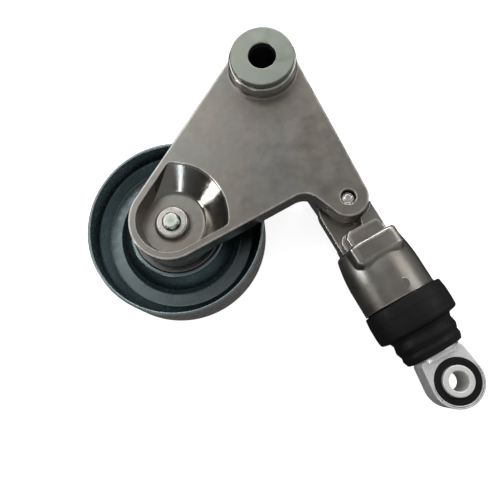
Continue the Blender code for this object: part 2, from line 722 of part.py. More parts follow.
def make_lower_eye():
    """Flange and shank that slide in the housing, then the eye casting itself."""
    flange_start, flange_end = SLIDE_FLANGE
    bore_r, bore_end, shank_end = 8.4, 69.5, 75.0
    eye = turned("lower_eye", [
        (0.0, shank_end), (SHANK_R - OVER, shank_end), (SHANK_R, shank_end - OVER),
        (SHANK_R, flange_end), (SLIDE_FLANGE_R, flange_end), (SLIDE_FLANGE_R, flange_start),
        (bore_r, flange_start), (bore_r, bore_end), (0.0, bore_end)], DAMPER, BRIGHT_CAST,
        MEDIUM, False)
    low, high = DAMPER_LEVEL - EYE_HALF, DAMPER_LEVEL + EYE_HALF
    corner, start, half, edge, inset = 2.0, 73.9, 9.9, 0.6, 0.2
    near_x, near_y = AXIS_X * (start + corner), AXIS_Y * (start + corner)
    side_x, side_y = AXIS_Y * (half - corner), -AXIS_X * (half - corner)
    circles = [
        (EYE_X - PIN_X, EYE_Y - PIN_Y, EYE_R),
        (near_x - side_x, near_y - side_y, corner),
        (near_x + side_x, near_y + side_y, corner),
    ]
    body = prism("eye_body", belt_outline(circles), low, high, PIN, collection=CUTTERS)
    bevel = body.modifiers.new("edges", "BEVEL")
    bevel.width = edge * MM
    bevel.segments = 1
    eye_bore = disc("eye_bore", EYE_BORE_R, low - OVER, high + OVER, EYE, collection=CUTTERS)
    join(eye, body)
    cut(eye, eye_bore)
    shade(eye)
    ring("eye_bush", *EYE_RING, low + inset, high - inset, EYE, RUBBER, MEDIUM, edge)
    ring("eye_sleeve", *EYE_SLEEVE, DAMPER_LEVEL - EYE_SLEEVE_HALF,
         DAMPER_LEVEL + EYE_SLEEVE_HALF, EYE, ZINC, MEDIUM, edge)


make_arm()
make_pivot()
make_bearing()
make_pulley_shell()
make_pulley_fixing()
make_pin()
make_housing()
make_valve()
make_spring_and_stop()
make_boot()
make_plunger()
make_lower_eye()
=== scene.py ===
"""Looks for the belt tensioner idler: cast arm, pressed pulley and hydraulic damper."""
import json
import math
from types import SimpleNamespace

import bmesh
import bpy
import numpy as np
from bpy.props import FloatProperty, FloatVectorProperty, IntProperty, PointerProperty
from mathutils import Matrix, Vector
from mathutils.geometry import tessellate_polygon


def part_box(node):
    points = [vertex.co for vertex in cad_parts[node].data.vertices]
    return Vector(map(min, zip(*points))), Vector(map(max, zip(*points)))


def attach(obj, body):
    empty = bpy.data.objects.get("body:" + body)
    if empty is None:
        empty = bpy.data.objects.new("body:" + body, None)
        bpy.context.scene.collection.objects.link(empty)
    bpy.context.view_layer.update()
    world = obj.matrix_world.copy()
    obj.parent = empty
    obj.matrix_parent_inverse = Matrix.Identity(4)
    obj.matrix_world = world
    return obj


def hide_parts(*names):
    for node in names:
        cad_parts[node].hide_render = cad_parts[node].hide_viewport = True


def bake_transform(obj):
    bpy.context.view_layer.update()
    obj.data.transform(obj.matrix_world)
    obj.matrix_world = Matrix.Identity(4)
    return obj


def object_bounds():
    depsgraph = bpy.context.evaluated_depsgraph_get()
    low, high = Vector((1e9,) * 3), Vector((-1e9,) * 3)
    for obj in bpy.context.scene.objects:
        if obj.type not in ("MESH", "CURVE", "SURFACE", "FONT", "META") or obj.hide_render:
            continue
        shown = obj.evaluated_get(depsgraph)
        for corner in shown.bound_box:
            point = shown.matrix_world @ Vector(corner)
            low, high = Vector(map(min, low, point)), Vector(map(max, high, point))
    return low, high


bl_info = {
    "name": "Belt Tensioner Idler",
    "version": (1, 0, 0),
    "blender": (4, 5, 0),
    "location": "View3D > Sidebar > Tensioner",
    "description": "Builds the visible surfaces of a belt tensioner with its pulley and damper",
    "category": "Add Mesh",
}

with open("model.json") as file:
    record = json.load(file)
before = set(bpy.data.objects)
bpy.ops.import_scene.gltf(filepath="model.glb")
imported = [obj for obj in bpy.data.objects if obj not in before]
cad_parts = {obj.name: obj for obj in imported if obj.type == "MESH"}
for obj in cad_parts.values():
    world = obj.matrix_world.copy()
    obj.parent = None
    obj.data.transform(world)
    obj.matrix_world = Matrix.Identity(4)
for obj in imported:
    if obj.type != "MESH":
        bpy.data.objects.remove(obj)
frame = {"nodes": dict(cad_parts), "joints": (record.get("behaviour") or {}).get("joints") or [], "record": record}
CAD_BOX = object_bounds()
JOINTS = {joint["name"]: joint for joint in frame["joints"]}


def axis_place(joint):
    """The plan position in millimetres of a joint's axis."""
    return np.array(JOINTS[joint]["pos_m"][:2]) * 1000.0


PIVOT = np.zeros(2)
PULLEY = axis_place("pulley_spin")
PIN = axis_place("damper_swing")
EYE = axis_place("eye_sleeve_turn")
ALONG = (EYE - PIN) / np.linalg.norm(EYE - PIN)
ACROSS = np.array([-ALONG[1], ALONG[0]])
SLEEVE_LOW, SLEEVE_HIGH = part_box("eye_sleeve")
DAMPER_LEVEL = (SLEEVE_LOW[2] + SLEEVE_HIGH[2]) * 500.0
NOTCH = np.array([17.5, -68.0])     # centre of the bend beside the lug
SMALL = 0.06                        # how far a fillet's support point stands off


def length(name, value, description, low=0.0, high=0.2):
    return FloatProperty(name=name, default=value, min=low, max=high, precision=4,
                         subtype="DISTANCE", unit="LENGTH", description=description)


def colour(name, value, description):
    return FloatVectorProperty(name=name, default=value, size=3, min=0.0, max=1.0,
                               subtype="COLOR", description=description)


def share(name, value, description, low=0.0, high=1.0):
    return FloatProperty(name=name, default=value, min=low, max=high, description=description)


# ------------------------------------------------------------------ user settings

def sizes(group):
    """A settings group as plain values, with its lengths in millimetres."""
    settings = getattr(bpy.context.scene, "tensioner_" + group)
    values = {}
    for entry in settings.bl_rna.properties:
        if entry.identifier not in ("rna_type", "name"):
            value = getattr(settings, entry.identifier)
            values[entry.identifier] = value * 1000.0 if entry.unit == "LENGTH" else value
    return SimpleNamespace(**values)


class TensionerArmSettings(bpy.types.PropertyGroup):
    """Sizes of the cast arm."""
    front: length("Front level", 0.0365, "Height of the plate's front face")
    back: length("Back level", 0.0245, "Height of the plate's back face")
    pivot_radius: length("Pivot end radius", 0.0151, "Radius of the arm round its pivot")
    pulley_radius: length("Pulley end radius", 0.0180, "Radius of the arm round the bolt")
    notch_radius: length("Notch radius", 0.0083, "Radius of the bend beside the lug")
    lug_radius: length("Lug radius", 0.0087, "Radius of the arm round the fork pin")
    edge: length("Edge radius", 0.0010, "Rounding of the plate's front edge")
    wall: length("Rim width", 0.0033, "Width of the rim left beside the dish")
    dish_mouth: length("Dish mouth radius", 0.0254, "Radius of the dish at the front face")
    dish_floor_radius: length("Dish floor radius", 0.0142, "Radius of the dish's flat floor")
    dish_floor: length("Dish floor level", 0.0275, "Height of the dish's flat floor")
    pad_top: length("Pad level", 0.0313, "Height of the pad round the bolt")
    boss_top: length("Boss level", 0.0431, "Height of the pivot boss")


class TensionerPulleySettings(bpy.types.PropertyGroup):
    """Sizes of the pressed pulley."""
    radius: length("Radius", 0.0400, "Outer radius of the rim")
    front: length("Front level", 0.0235, "Height of the rim's front edge")
    sheet: length("Sheet thickness", 0.0015, "Thickness of the pressed sheet")
    web: length("Web level", 0.0070, "Height of the web's front face")
    hub_radius: length("Hub radius", 0.0218, "Outer radius of the bearing hub")
    hub_top: length("Hub level", 0.0173, "Height of the bearing hub")


class TensionerDamperSettings(bpy.types.PropertyGroup):
    """Sizes of the hydraulic damper."""
    body_radius: length("Body radius", 0.0165, "Radius of the round body")
    head_half: length("Head half width", 0.0113, "Half the width of the raised panel")
    head_front: length("Head half depth", 0.0167, "Half the depth over the panels")
    neck_half: length("Neck half width", 0.0081, "Half the width of the neck")
    squareness: FloatProperty(name="Head squareness", default=7.0, min=2.0, max=16.0,
                              description="Power of the head's rounded square section")
    boot_radius: length("Boot radius", 0.0185, "Radius of the boot's cuff")
    eye_radius: length("Eye radius", 0.0112, "Outer radius of the lower eye")
    coils: IntProperty(name="Spring coils", default=5, min=2, max=12,
                       description="Turns of the return spring")


class TensionerFinishSettings(bpy.types.PropertyGroup):
    """Colours and grain of the finishes."""
    cast: colour("Cast aluminium", (0.300, 0.288, 0.272), "Satin die-cast aluminium")
    bright_cast: colour("Bright casting", (0.93, 0.93, 0.94), "Bright lower eye")
    zinc: colour("Zinc plate", (0.235, 0.255, 0.225), "Plated discs and bolts")
    sheet: colour("Plated sheet", (0.175, 0.220, 0.230), "Pressed pulley")
    steel: colour("Steel", (0.58, 0.59, 0.60), "Ground steel")
    ivory: colour("Sleeve", (0.92, 0.91, 0.84), "Sleeve in the lower eye")
    bronze: colour("Bronze", (0.50, 0.36, 0.19), "Bushes")
    rubber: colour("Rubber", (0.0055, 0.0055, 0.007), "Boot, bush and seals")
    nylon: colour("Nylon", (0.50, 0.43, 0.30), "Bearing cage")


class TensionerStageSettings(bpy.types.PropertyGroup):
    """Floor, lights and camera."""
    floor: colour("Floor", (0.93, 0.93, 0.93), "Colour of the floor")
    floor_glow: share("Floor glow", 0.82, "Light that the floor gives off")
    world: share("World", 0.31, "Brightness overhead")
    key: FloatProperty(name="Key power", default=4.2, min=0.0, unit="POWER",
                       description="Power of the main soft light")
    fill: FloatProperty(name="Fill power", default=1.6, min=0.0, unit="POWER",
                        description="Power of the side soft light")
    lens: FloatProperty(name="Lens", default=42.02, min=10.0, max=200.0,
                        description="Focal length of the camera in millimetres")


# ------------------------------------------------------------------ surfaces

def filleted(corners, closed=False, steps=5, outward=False):
    """A path through corners (a, b, radius). Each corner becomes a circular arc that is
    tangent to both of its sides, with one more point a little way along each side. If
    outward is set, the normals come too: the path's heading turned clockwise."""
    points = np.array([corner[:2] for corner in corners], float)
    count = len(points)
    path, headings = [], []
    for i in range(count):
        here = points[i]
        if not closed and i in (0, count - 1):
            path.append(here[None])
            continue
        before, after = here - points[i - 1], points[(i + 1) % count] - here
        near = min(np.linalg.norm(before), np.linalg.norm(after))
        u, v = before / np.linalg.norm(before), after / np.linalg.norm(after)
        heading = math.atan2(u[1], u[0])
        turn = math.atan2(u[0] * v[1] - u[1] * v[0], u @ v)
        radius = corners[i][2]
        if radius <= 0.0 or abs(turn) < 0.02:
            path.append(here[None])
            headings.append([heading + turn / 2.0])
            continue
        bend = math.tan(abs(turn) / 2.0)
        support = min(SMALL, near * 0.05)
        radius = min(radius, (near * 0.49 - support) / bend)
        start = here - u * radius * bend
        centre = start + np.array([-u[1], u[0]]) * radius * math.copysign(1.0, turn)
        angle = np.linspace(0.0, turn, steps + 1)
        arm = start - centre
        arc = centre + np.stack([arm[0] * np.cos(angle) - arm[1] * np.sin(angle),
                                 arm[0] * np.sin(angle) + arm[1] * np.cos(angle)], -1)
        path += [start[None] - u * support, arc, here[None] + v * (radius * bend + support)]
        headings += [[heading], heading + angle, [heading + turn]]
    if not outward:
        return np.concatenate(path)
    heading = np.concatenate(headings)
    return np.concatenate(path), np.stack([np.sin(heading), -np.cos(heading)], -1)


def belt_run(circles, step=math.radians(3.0), support=0.4):
    """Points and outward normals of a belt round circles (x, y, radius). On a circle the
    point is centre + radius * normal, and the normal is the heading turned clockwise by
    a right angle. A negative radius bends the belt inwards."""
    count = len(circles)
    data = np.array(circles, float)
    step_to = np.roll(data, -1, axis=0) - data
    reach = np.hypot(step_to[:, 0], step_to[:, 1])
    headings = np.arctan2(step_to[:, 1], step_to[:, 0]) - np.arcsin(step_to[:, 2] / reach)
    points, normals = [], []
    for i in range(count):
        radius = data[i, 2]
        bend = math.copysign(1.0, radius)
        start = headings[i - 1]
        swept = (bend * (headings[i] - start) + 0.001) % (2.0 * math.pi) - 0.001
        heading = start + bend * np.linspace(0.0, swept, max(2, math.ceil(swept / step) + 1))
        normal = np.stack([np.sin(heading), -np.cos(heading)], -1)
        arc = data[i, :2] + radius * normal
        ahead = np.stack([np.cos(heading), np.sin(heading)], -1)
        points += [arc[:1] - support * ahead[:1], arc, arc[-1:] + support * ahead[-1:]]
        normals += [normal[:1], normal, normal[-1:]]
    return np.concatenate(points), np.concatenate(normals)


def divided(path, longest, closed=False):
    """A path with each side cut into equal parts, about as long as asked for."""
    pieces = [path[:1]]
    ahead = np.roll(path, -1, axis=0)
    for first, second in list(zip(path, ahead))[:None if closed else -1]:
        parts = max(1, int(np.linalg.norm(second - first) / longest))
        pieces.append(first + (second - first) * np.linspace(0, 1, parts + 1)[1:, None])
    whole = np.concatenate(pieces)
    return whole[:-1] if closed else whole


def full_turn(count):
    """Equally spaced angles round a circle."""
    return np.linspace(0.0, 2.0 * math.pi, count, endpoint=False)


def around(centre, angle, radius, height):
    """Points (angle, place on the profile) at a radius from an upright axis: each is
    centre + radius * (cos, sin) of its angle."""
    return np.stack([centre[0] + radius * np.cos(angle)[:, None],
                     centre[1] + radius * np.sin(angle)[:, None], height], -1)


def smooth_step(value):
    """Rises from 0 to 1 as the value does, as 3 v squared less 2 v cubed."""
    value = np.clip(value, 0.0, 1.0)
    return value ** 2 * (3.0 - 2.0 * value)


def damper_plan(path):
    """Plan positions of points (station along the damper, offset across it)."""
    path = np.asarray(path, float)
    return PIN + path[:, :1] * ALONG + path[:, 1:2] * ACROSS


def damper_loop(corners, steps=7):
    """A closed path of rounded corners (station, offset, radius), in plan, with normals."""
    path, normals = filleted(corners, True, steps, True)
    return damper_plan(path), normals[:, :1] * ALONG + normals[:, 1:] * ACROSS


def upright(centre):
    """An upright axis through a plan position: origin, two radial directions, axis."""
    origin = np.array([centre[0], centre[1], 0.0])
    return origin, np.array([1.0, 0, 0]), np.array([0, 1.0, 0]), np.array([0, 0, 1.0])


def along_damper():
    """The damper's axis: origin, two radial directions, axis."""
    return (np.array([PIN[0], PIN[1], DAMPER_LEVEL]), np.array([*ACROSS, 0.0]),
            np.array([0, 0, 1.0]), np.array([*ALONG, 0.0]))


class Patchwork:
    """Patches of surface that are welded along their shared borders into one mesh."""

    def __init__(self):
        self.points = []
        self.faces = []
        self.total = 0

    def add(self, points, faces):
        points = np.asarray(points, float).reshape(-1, 3)
        self.faces += (np.asarray(faces) + self.total).tolist()
        self.points.append(points)
        self.total += len(points)

    def grid(self, points, wrap_rows=True, wrap_columns=False):
        """Quads between neighbouring points of a grid (rows, columns, 3)."""
        rows, columns = points.shape[:2]
        row = np.arange(rows if wrap_rows else rows - 1)
        column = np.arange(columns if wrap_columns else columns - 1)
        row, column = np.meshgrid(row, column, indexing="ij")
        next_row, next_column = (row + 1) % rows, (column + 1) % columns
        faces = np.stack([row * columns + column, next_row * columns + column,
                          next_row * columns + next_column, row * columns + next_column], -1)
        self.add(points, faces.reshape(-1, 4))
        return points

    def turn(self, profile, frame_axes, steps=96, closed=True):
        """A profile (radius, height) carried round an axis: the point at angle t is
        origin + radius * (cos t * first + sin t * second) + height * axis."""
        origin, first, second, axis = frame_axes
        angle = np.arange(steps) * 2.0 * math.pi / steps
        radial = np.cos(angle)[:, None] * first + np.sin(angle)[:, None] * second
        profile = np.asarray(profile, float)
        points = (origin + radial[:, None, :] * profile[None, :, :1]
                  + profile[None, :, 1:2] * axis)
        return self.grid(points, True, closed)

    def sweep(self, points, normals, profile):
        """A profile (inset, height) carried round a plan path: each point moves against
        the path's outward normal by the inset, and up to the height."""
        flat = points[:, None, :] - profile[None, :, :1] * normals[:, None, :]
        height = np.broadcast_to(profile[None, :, 1:2], (*flat.shape[:2], 1))
        return self.grid(np.concatenate([flat, height], -1))

    def fill(self, *loops):
        """Flat triangles inside the first loop and outside the other loops."""
        faces = tessellate_polygon([[Vector(point) for point in loop] for loop in loops])
        self.add(np.concatenate(loops), faces)

    def slab(self, points, normals, low, high, edge, holes=(), steps=4):
        """A flat piece with rounded edges, and holes (plan centre, radius, edge)."""
        inset = edge + 2.0 * SMALL
        profile = filleted([(inset, high, 0), (0.0, high, edge), (0.0, low, edge),
                            (inset, low, 0)], steps=steps)
        wall = self.sweep(points, normals, profile)
        tops, bottoms = [wall[:, 0]], [wall[:, -1]]
        for centre, radius, hole_edge in holes:
            bore = self.hole(centre, radius, low, high, hole_edge, hole_edge, 64, 4)
            tops.append(bore[:, 0])
            bottoms.append(bore[:, -1])
        self.fill(*tops)
        self.fill(*bottoms)

    def hole(self, centre, radius, low, high, low_edge, high_edge, sides, steps):
        """The wall of a round upright hole, from its upper rounded edge to its lower one."""
        out = radius + high_edge + 2.0 * SMALL
        profile = filleted([(out, high, 0), (radius, high, high_edge),
                            (radius, low, low_edge), (out, low, 0)], steps=steps)
        return self.turn(profile, upright(centre), sides, False)

    def build(self, name, body, material, *nodes):
        """Welds the patches and turns their faces outwards. The finished piece rides on its
        body and stands for its CAD nodes."""
        mesh = bpy.data.meshes.new(name)
        mesh.from_pydata((np.concatenate(self.points) * 0.001).tolist(), [], self.faces)
        shape = bmesh.new()
        shape.from_mesh(mesh)
        bmesh.ops.remove_doubles(shape, verts=shape.verts, dist=0.0000005)
        bmesh.ops.recalc_face_normals(shape, faces=shape.faces)
        shape.to_mesh(mesh)
        shape.free()
        mesh.shade_smooth()
        add_edge_attributes(mesh)
        mesh.materials.append(material)
        obj = bpy.data.objects.new(name, mesh)
        bpy.context.scene.collection.objects.link(obj)
        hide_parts(*nodes)
        if body:
            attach(obj, body)
        return obj


def vertex_places(mesh):
    """The vertices' places in millimetres."""
    places = np.empty(len(mesh.vertices) * 3)
    mesh.vertices.foreach_get("co", places)
    return places.reshape(-1, 3) * 1000.0


def write_attribute(mesh, name, value):
    """Stores one number for each vertex, for the finishes to read."""
    layer = mesh.attributes.new(name, "FLOAT", "POINT")
    layer.data.foreach_set("value", value.astype(np.float32))


def add_edge_attributes(mesh):
    """Writes how sharply the surface bends at each vertex. Along an edge the bend is the
    change of normal over the edge's length, positive where the surface is convex. The
    attributes edge and cavity hold its largest and smallest value for a vertex."""
    count = len(mesh.vertices)
    places = vertex_places(mesh)
    normals = np.empty(count * 3, np.float32)
    mesh.vertex_normals.foreach_get("vector", normals)
    normals = normals.reshape(-1, 3)
    ends = np.empty(len(mesh.edges) * 2, np.int32)
    mesh.edges.foreach_get("vertices", ends)
    first, second = ends.reshape(-1, 2).T
    span = places[second] - places[first]
    squared = np.maximum((span ** 2).sum(1), 0.0025)
    bend = ((normals[second] - normals[first]) * span).sum(1) / squared
    convex, hollow = np.zeros(count), np.zeros(count)
    for ends_here in (first, second):
        np.maximum.at(convex, ends_here, bend)
        np.maximum.at(hollow, ends_here, -bend)
    write_attribute(mesh, "edge", np.clip(convex, 0.0, 1.0))
    write_attribute(mesh, "cavity", np.clip(hollow, 0.0, 1.0))


def turned_piece(name, body, material, node, centre, corners, steps=96, closed=True,
                 rounding=5):
    """A piece turned about an upright axis from its profile's corners."""
    work = Patchwork()
    work.turn(filleted(corners, closed, rounding), upright(centre), steps, closed)
    return work.build(name, body, finishes()[material], node)


# ------------------------------------------------------------------ finishes

class Finish:
    """A node tree round one shader, with short calls for its textures."""

    def __init__(self, name, roughness, metallic):
        self.material = bpy.data.materials.new(name)
        self.material.use_nodes = True
        self.tree = self.material.node_tree
        self.shader = self.tree.nodes["Principled BSDF"]
        self.shader.inputs["Metallic"].default_value = metallic
        self.shader.inputs["Roughness"].default_value = roughness
        self.place = self.tree.nodes.new("ShaderNodeTexCoord").outputs["Object"]

    def node(self, kind, inputs=None, **settings):
        made = self.tree.nodes.new(kind)
        for key, value in settings.items():
            setattr(made, key, value)
        for key, value in (inputs or {}).items():
            if isinstance(value, bpy.types.NodeSocket):
                self.tree.links.new(value, made.inputs[key])
            else:
                made.inputs[key].default_value = value
        return made

    def noise(self, scale, detail=3.0, place=None):
        """Soft noise, its scale being the number of grains in a metre."""
        made = self.node("ShaderNodeTexNoise", {"Vector": place or self.place,
                         "Scale": scale, "Detail": detail, "Roughness": 0.55})
        return made.outputs["Fac"]

    def remap(self, value, low, high, to_low, to_high):
        """A value carried in a straight line from one range to another, and held inside."""
        made = self.node("ShaderNodeMapRange", {"Value": value, "From Min": low,
                         "From Max": high, "To Min": to_low, "To Max": to_high})
        return made.outputs["Result"]

    def grain(self, scale, detail, low, high, to_low, to_high):
        """Noise with its values between low and high spread over another range."""
        return self.remap(self.noise(scale, detail), low, high, to_low, to_high)

    def mix(self, factor, first, second):
        """A blend of two colours, all the second where the factor is one."""
        made = self.tree.nodes.new("ShaderNodeMix")
        made.data_type = "RGBA"
        for index, value in ((0, factor), (6, first), (7, second)):
            if isinstance(value, bpy.types.NodeSocket):
                self.tree.links.new(value, made.inputs[index])
            elif index == 0:
                made.inputs[index].default_value = value
            else:
                made.inputs[index].default_value = (*value, 1.0)
        return made.outputs[2]

    def math(self, operation, first, second):
        made = self.node("ShaderNodeMath", {0: first, 1: second}, operation=operation)
        return made.outputs[0]

    def attribute(self, name):
        return self.node("ShaderNodeAttribute", attribute_name=name).outputs["Fac"]

    def round_place(self, centre):
        """Coordinates (distance from an upright axis, height, angle), for turned marks."""
        moved = self.node("ShaderNodeMapping", {"Vector": self.place, "Location":
                          (-centre[0] * 0.001, -centre[1] * 0.001, 0.0)}).outputs[0]
        parts = self.node("ShaderNodeSeparateXYZ", {0: moved}).outputs
        square = self.math("ADD", self.math("MULTIPLY", parts[0], parts[0]),
                           self.math("MULTIPLY", parts[1], parts[1]))
        distance = self.math("SQRT", square, 0.0)
        angle = self.math("ARCTAN2", parts[1], parts[0])
        angle = self.math("MULTIPLY", angle, 0.0012)
        return self.node("ShaderNodeCombineXYZ", {0: distance, 1: parts[2],
                         2: angle}).outputs[0]

    def bump(self, height, distance, strength=1.0, below=None):
        """A normal tilted by a height that is this distance in metres at one."""
        made = self.node("ShaderNodeBump", {"Height": height, "Distance": distance,
                         "Strength": strength})
        if below:
            self.tree.links.new(below, made.inputs["Normal"])
        return made.outputs["Normal"]

    def link(self, value, name):
        self.tree.links.new(value, self.shader.inputs[name])


def tint(colour_value, factor):
    """A colour made lighter or darker by a factor."""
    return tuple(min(1.0, part * factor) for part in colour_value)


def cast_metal(name, base, roughness, warm, cool, metallic=1.0, mottle_wear_and_highlight=1.0):
    """Tumbled die casting: broad stains, fine mottling and a pebbled skin. Convex edges lightened, partly as wear
    and partly as painted highlight; concave creases darkened as painted shade.
    """
    finish = Finish(name, roughness, metallic)
    stains = finish.grain(42.0, 4.0, 0.36, 0.64, 0.0, 1.0)
    body = finish.mix(stains, tuple(np.multiply(base, warm)), tuple(np.multiply(base, cool)))
    mottle = finish.grain(330.0, 4.0, 0.3, 0.7, 0.0, 1.0)
    body = finish.mix(finish.math("MULTIPLY", mottle, 0.3 * mottle_wear_and_highlight), body, tint(base, 0.72))
    # Convex edges lightened: partly worn metal, partly a painted highlight.
    edge = finish.remap(finish.attribute("edge"), 0.10, 0.70, 0.0, 0.9)
    scuff_and_highlight_grain = finish.grain(300.0, 2.0, 0.30, 0.60, 0.6, 1.0)
    body = finish.mix(finish.math("MULTIPLY", edge, scuff_and_highlight_grain), body,
                      tint(base, 1.0 + 1.2 * mottle_wear_and_highlight))
    # Concave creases darkened as painted shade.
    cavity = finish.remap(finish.attribute("cavity"), 0.15, 0.9, 0.0, 0.35)
    body = finish.mix(cavity, body, tint(base, 0.45))
    finish.link(body, "Base Color")
    rough = finish.grain(150.0, 4.0, 0.3, 0.7, roughness - 0.06, roughness + 0.08)
    rough = finish.math("SUBTRACT", rough, finish.math("MULTIPLY", edge, 0.08))
    polish = finish.math("MULTIPLY", finish.attribute("polish"), roughness - 0.12)
    finish.link(finish.math("SUBTRACT", rough, polish), "Roughness")
    skin = finish.bump(finish.noise(1900.0, 3.0), 0.00002)
    finish.link(finish.bump(finish.noise(240.0, 2.0), 0.00009, 0.6, skin), "Normal")
    return finish.material


def turned_metal(name, base, roughness, centre, metallic=1.0, cloud=0.2, band=None):
    """Turned or pressed metal: fine rings round an upright axis and a cloudy plating, with edges lightened as
    painted highlight and creases darkened as painted shade.
    Past the distance `band` in millimetres from the axis the colour is a lighter dull grey with less metal:
    painted light on the belt face."""
    finish = Finish(name, roughness, metallic)
    cloudy = finish.grain(70.0, 4.0, 0.32, 0.68, 0.0, cloud * 2.0)
    body = finish.mix(cloudy, base, tint(base, 0.72))
    place = finish.round_place(centre)
    lines = finish.noise(1500.0, 2.0, place)
    body = finish.mix(finish.remap(lines, 0.35, 0.65, 0.0, 0.14), body, tint(base, 1.3))
    # Convex edges lightened as a painted highlight.
    edge = finish.remap(finish.attribute("edge"), 0.15, 0.8, 0.0, 0.7)
    body = finish.mix(edge, body, tint(base, 1.7))
    # Concave creases darkened as painted shade.
    cavity = finish.remap(finish.attribute("cavity"), 0.15, 0.9, 0.0, 0.4)
    body = finish.mix(cavity, body, tint(base, 0.4))
    # Past the band the colour turns a lighter dull grey with less metal: painted light on the belt face, which the
    # lamps leave dark.
    if band:
        distance = finish.node("ShaderNodeSeparateXYZ", {0: place}).outputs[0]
        painted_light_band = finish.remap(distance, band * 0.001 - 0.0002, band * 0.001, 0.0, 1.0)
        body = finish.mix(painted_light_band, body, (0.46, 0.44, 0.41))
        finish.link(finish.remap(painted_light_band, 0.0, 1.0, metallic, 0.2), "Metallic")
    finish.link(body, "Base Color")
    finish.link(finish.grain(260.0, 3.0, 0.3, 0.7, roughness - 0.05, roughness + 0.08),
                "Roughness")
    finish.link(finish.bump(lines, 0.000004), "Normal")
    return finish.material


def moulded_rubber(name, base):
    """Black rubber: a matt skin with soft bloom, dusty in places."""
    finish = Finish(name, 0.5, 0.0)
    bloom = finish.grain(130.0, 5.0, 0.42, 0.72, 0.0, 0.35)
    finish.link(finish.mix(bloom, base, tint(base, 2.2)), "Base Color")
    finish.link(finish.grain(420.0, 3.0, 0.3, 0.7, 0.42, 0.62), "Roughness")
    finish.shader.inputs["Specular IOR Level"].default_value = 0.26
    fine = finish.bump(finish.noise(2600.0, 2.0), 0.00002)
    finish.link(finish.bump(finish.noise(380.0, 2.0), 0.00005, 0.5, fine), "Normal")
    return finish.material


def moulded_nylon(name, base):
    """Nylon: slightly uneven colour under a soft gloss."""
    finish = Finish(name, 0.45, 0.0)
    finish.link(finish.mix(finish.noise(300.0), tint(base, 0.85), tint(base, 1.1)),
                "Base Color")
    finish.link(finish.grain(600.0, 3.0, 0.3, 0.7, 0.38, 0.55), "Roughness")
    return finish.material


FINISHES = {}


def finishes():
    """The finishes by the record's slot names, made once."""
    if FINISHES:
        return FINISHES
    s = bpy.context.scene.tensioner_finish
    made = {
        "die_cast_aluminium": (cast_metal, s.cast, 0.34, (1.06, 1.0, 0.92),
                               (0.93, 0.97, 0.97)),
        "bright_cast_aluminium": (cast_metal, s.bright_cast, 0.30, (1.0, 1.0, 0.98),
                                  (0.95, 0.96, 0.97), 0.35, 0.15),
        "zinc_plated_steel": (turned_metal, s.zinc, 0.34, PIVOT),
        # 39.85 is the band: past it the rim's belt face is painted lighter, as painted light.
        "zinc_plated_sheet": (turned_metal, s.sheet, 0.27, PULLEY, 1.0, 0.2, 39.85),
        "sleeve_steel": (turned_metal, tint(s.steel, 0.10), 0.5, PIVOT),
        "bolt_zinc": (turned_metal, tint(s.zinc, 2.2), 0.26, PULLEY),
        # The shield is a quarter as bright as the zinc: painted shade in the gap between arm and pulley.
        "shield_zinc": (turned_metal, tint(s.zinc, 0.25), 0.4, PULLEY),
        # The races are darkened steel: painted shade in the gap under the arm beside the hub.
        "bearing_steel": (turned_metal, tint(s.steel, 0.22), 0.3, PULLEY),
        "pin_steel": (turned_metal, tint(s.steel, 1.2), 0.24, PIN),
        "sleeve_zinc": (turned_metal, s.ivory, 0.33, EYE, 0.35, 0.1),
        "bush_bronze": (turned_metal, s.bronze, 0.38, PIVOT),
        "spring_steel": (turned_metal, tint(s.steel, 0.4), 0.34, PIN),
        "black_rubber": (moulded_rubber, s.rubber),
        "cage_nylon": (moulded_nylon, s.nylon),
    }
    for name, (kind, *values) in made.items():
        FINISHES[name] = kind(name, *values)
    return FINISHES


# ------------------------------------------------------------------ arm

def arm_circles(s):
    """Circles of the arm's outline in plan, in millimetres."""
    return [(*PIVOT, s.pivot_radius), (*PULLEY, s.pulley_radius),
            (*NOTCH, -s.notch_radius), (*PIN, s.lug_radius)]


def side_normal(first, second):
    """Outward normal of the straight side that joins two circles of the outline."""
    way = np.array(second[:2]) - np.array(first[:2])
    lean = math.asin((second[2] - first[2]) / np.linalg.norm(way))
    heading = math.atan2(way[1], way[0]) - lean
    return np.array([math.sin(heading), -math.cos(heading)])


def smooth_least(first, second, width):
    """The smaller of two values, rounded off where they differ by less than width."""
    near = np.maximum(width - np.abs(first - second), 0.0) / width
    return np.minimum(first, second) - near ** 2 * width / 4.0


def ray_to_line(angle, normal, distance):
    """Distance along each angle to a line that lies at a distance along its normal."""
    toward = np.cos(angle - math.atan2(normal[1], normal[0]))
    return np.where(toward > 0.02, distance / np.maximum(toward, 0.02), 1000.0)


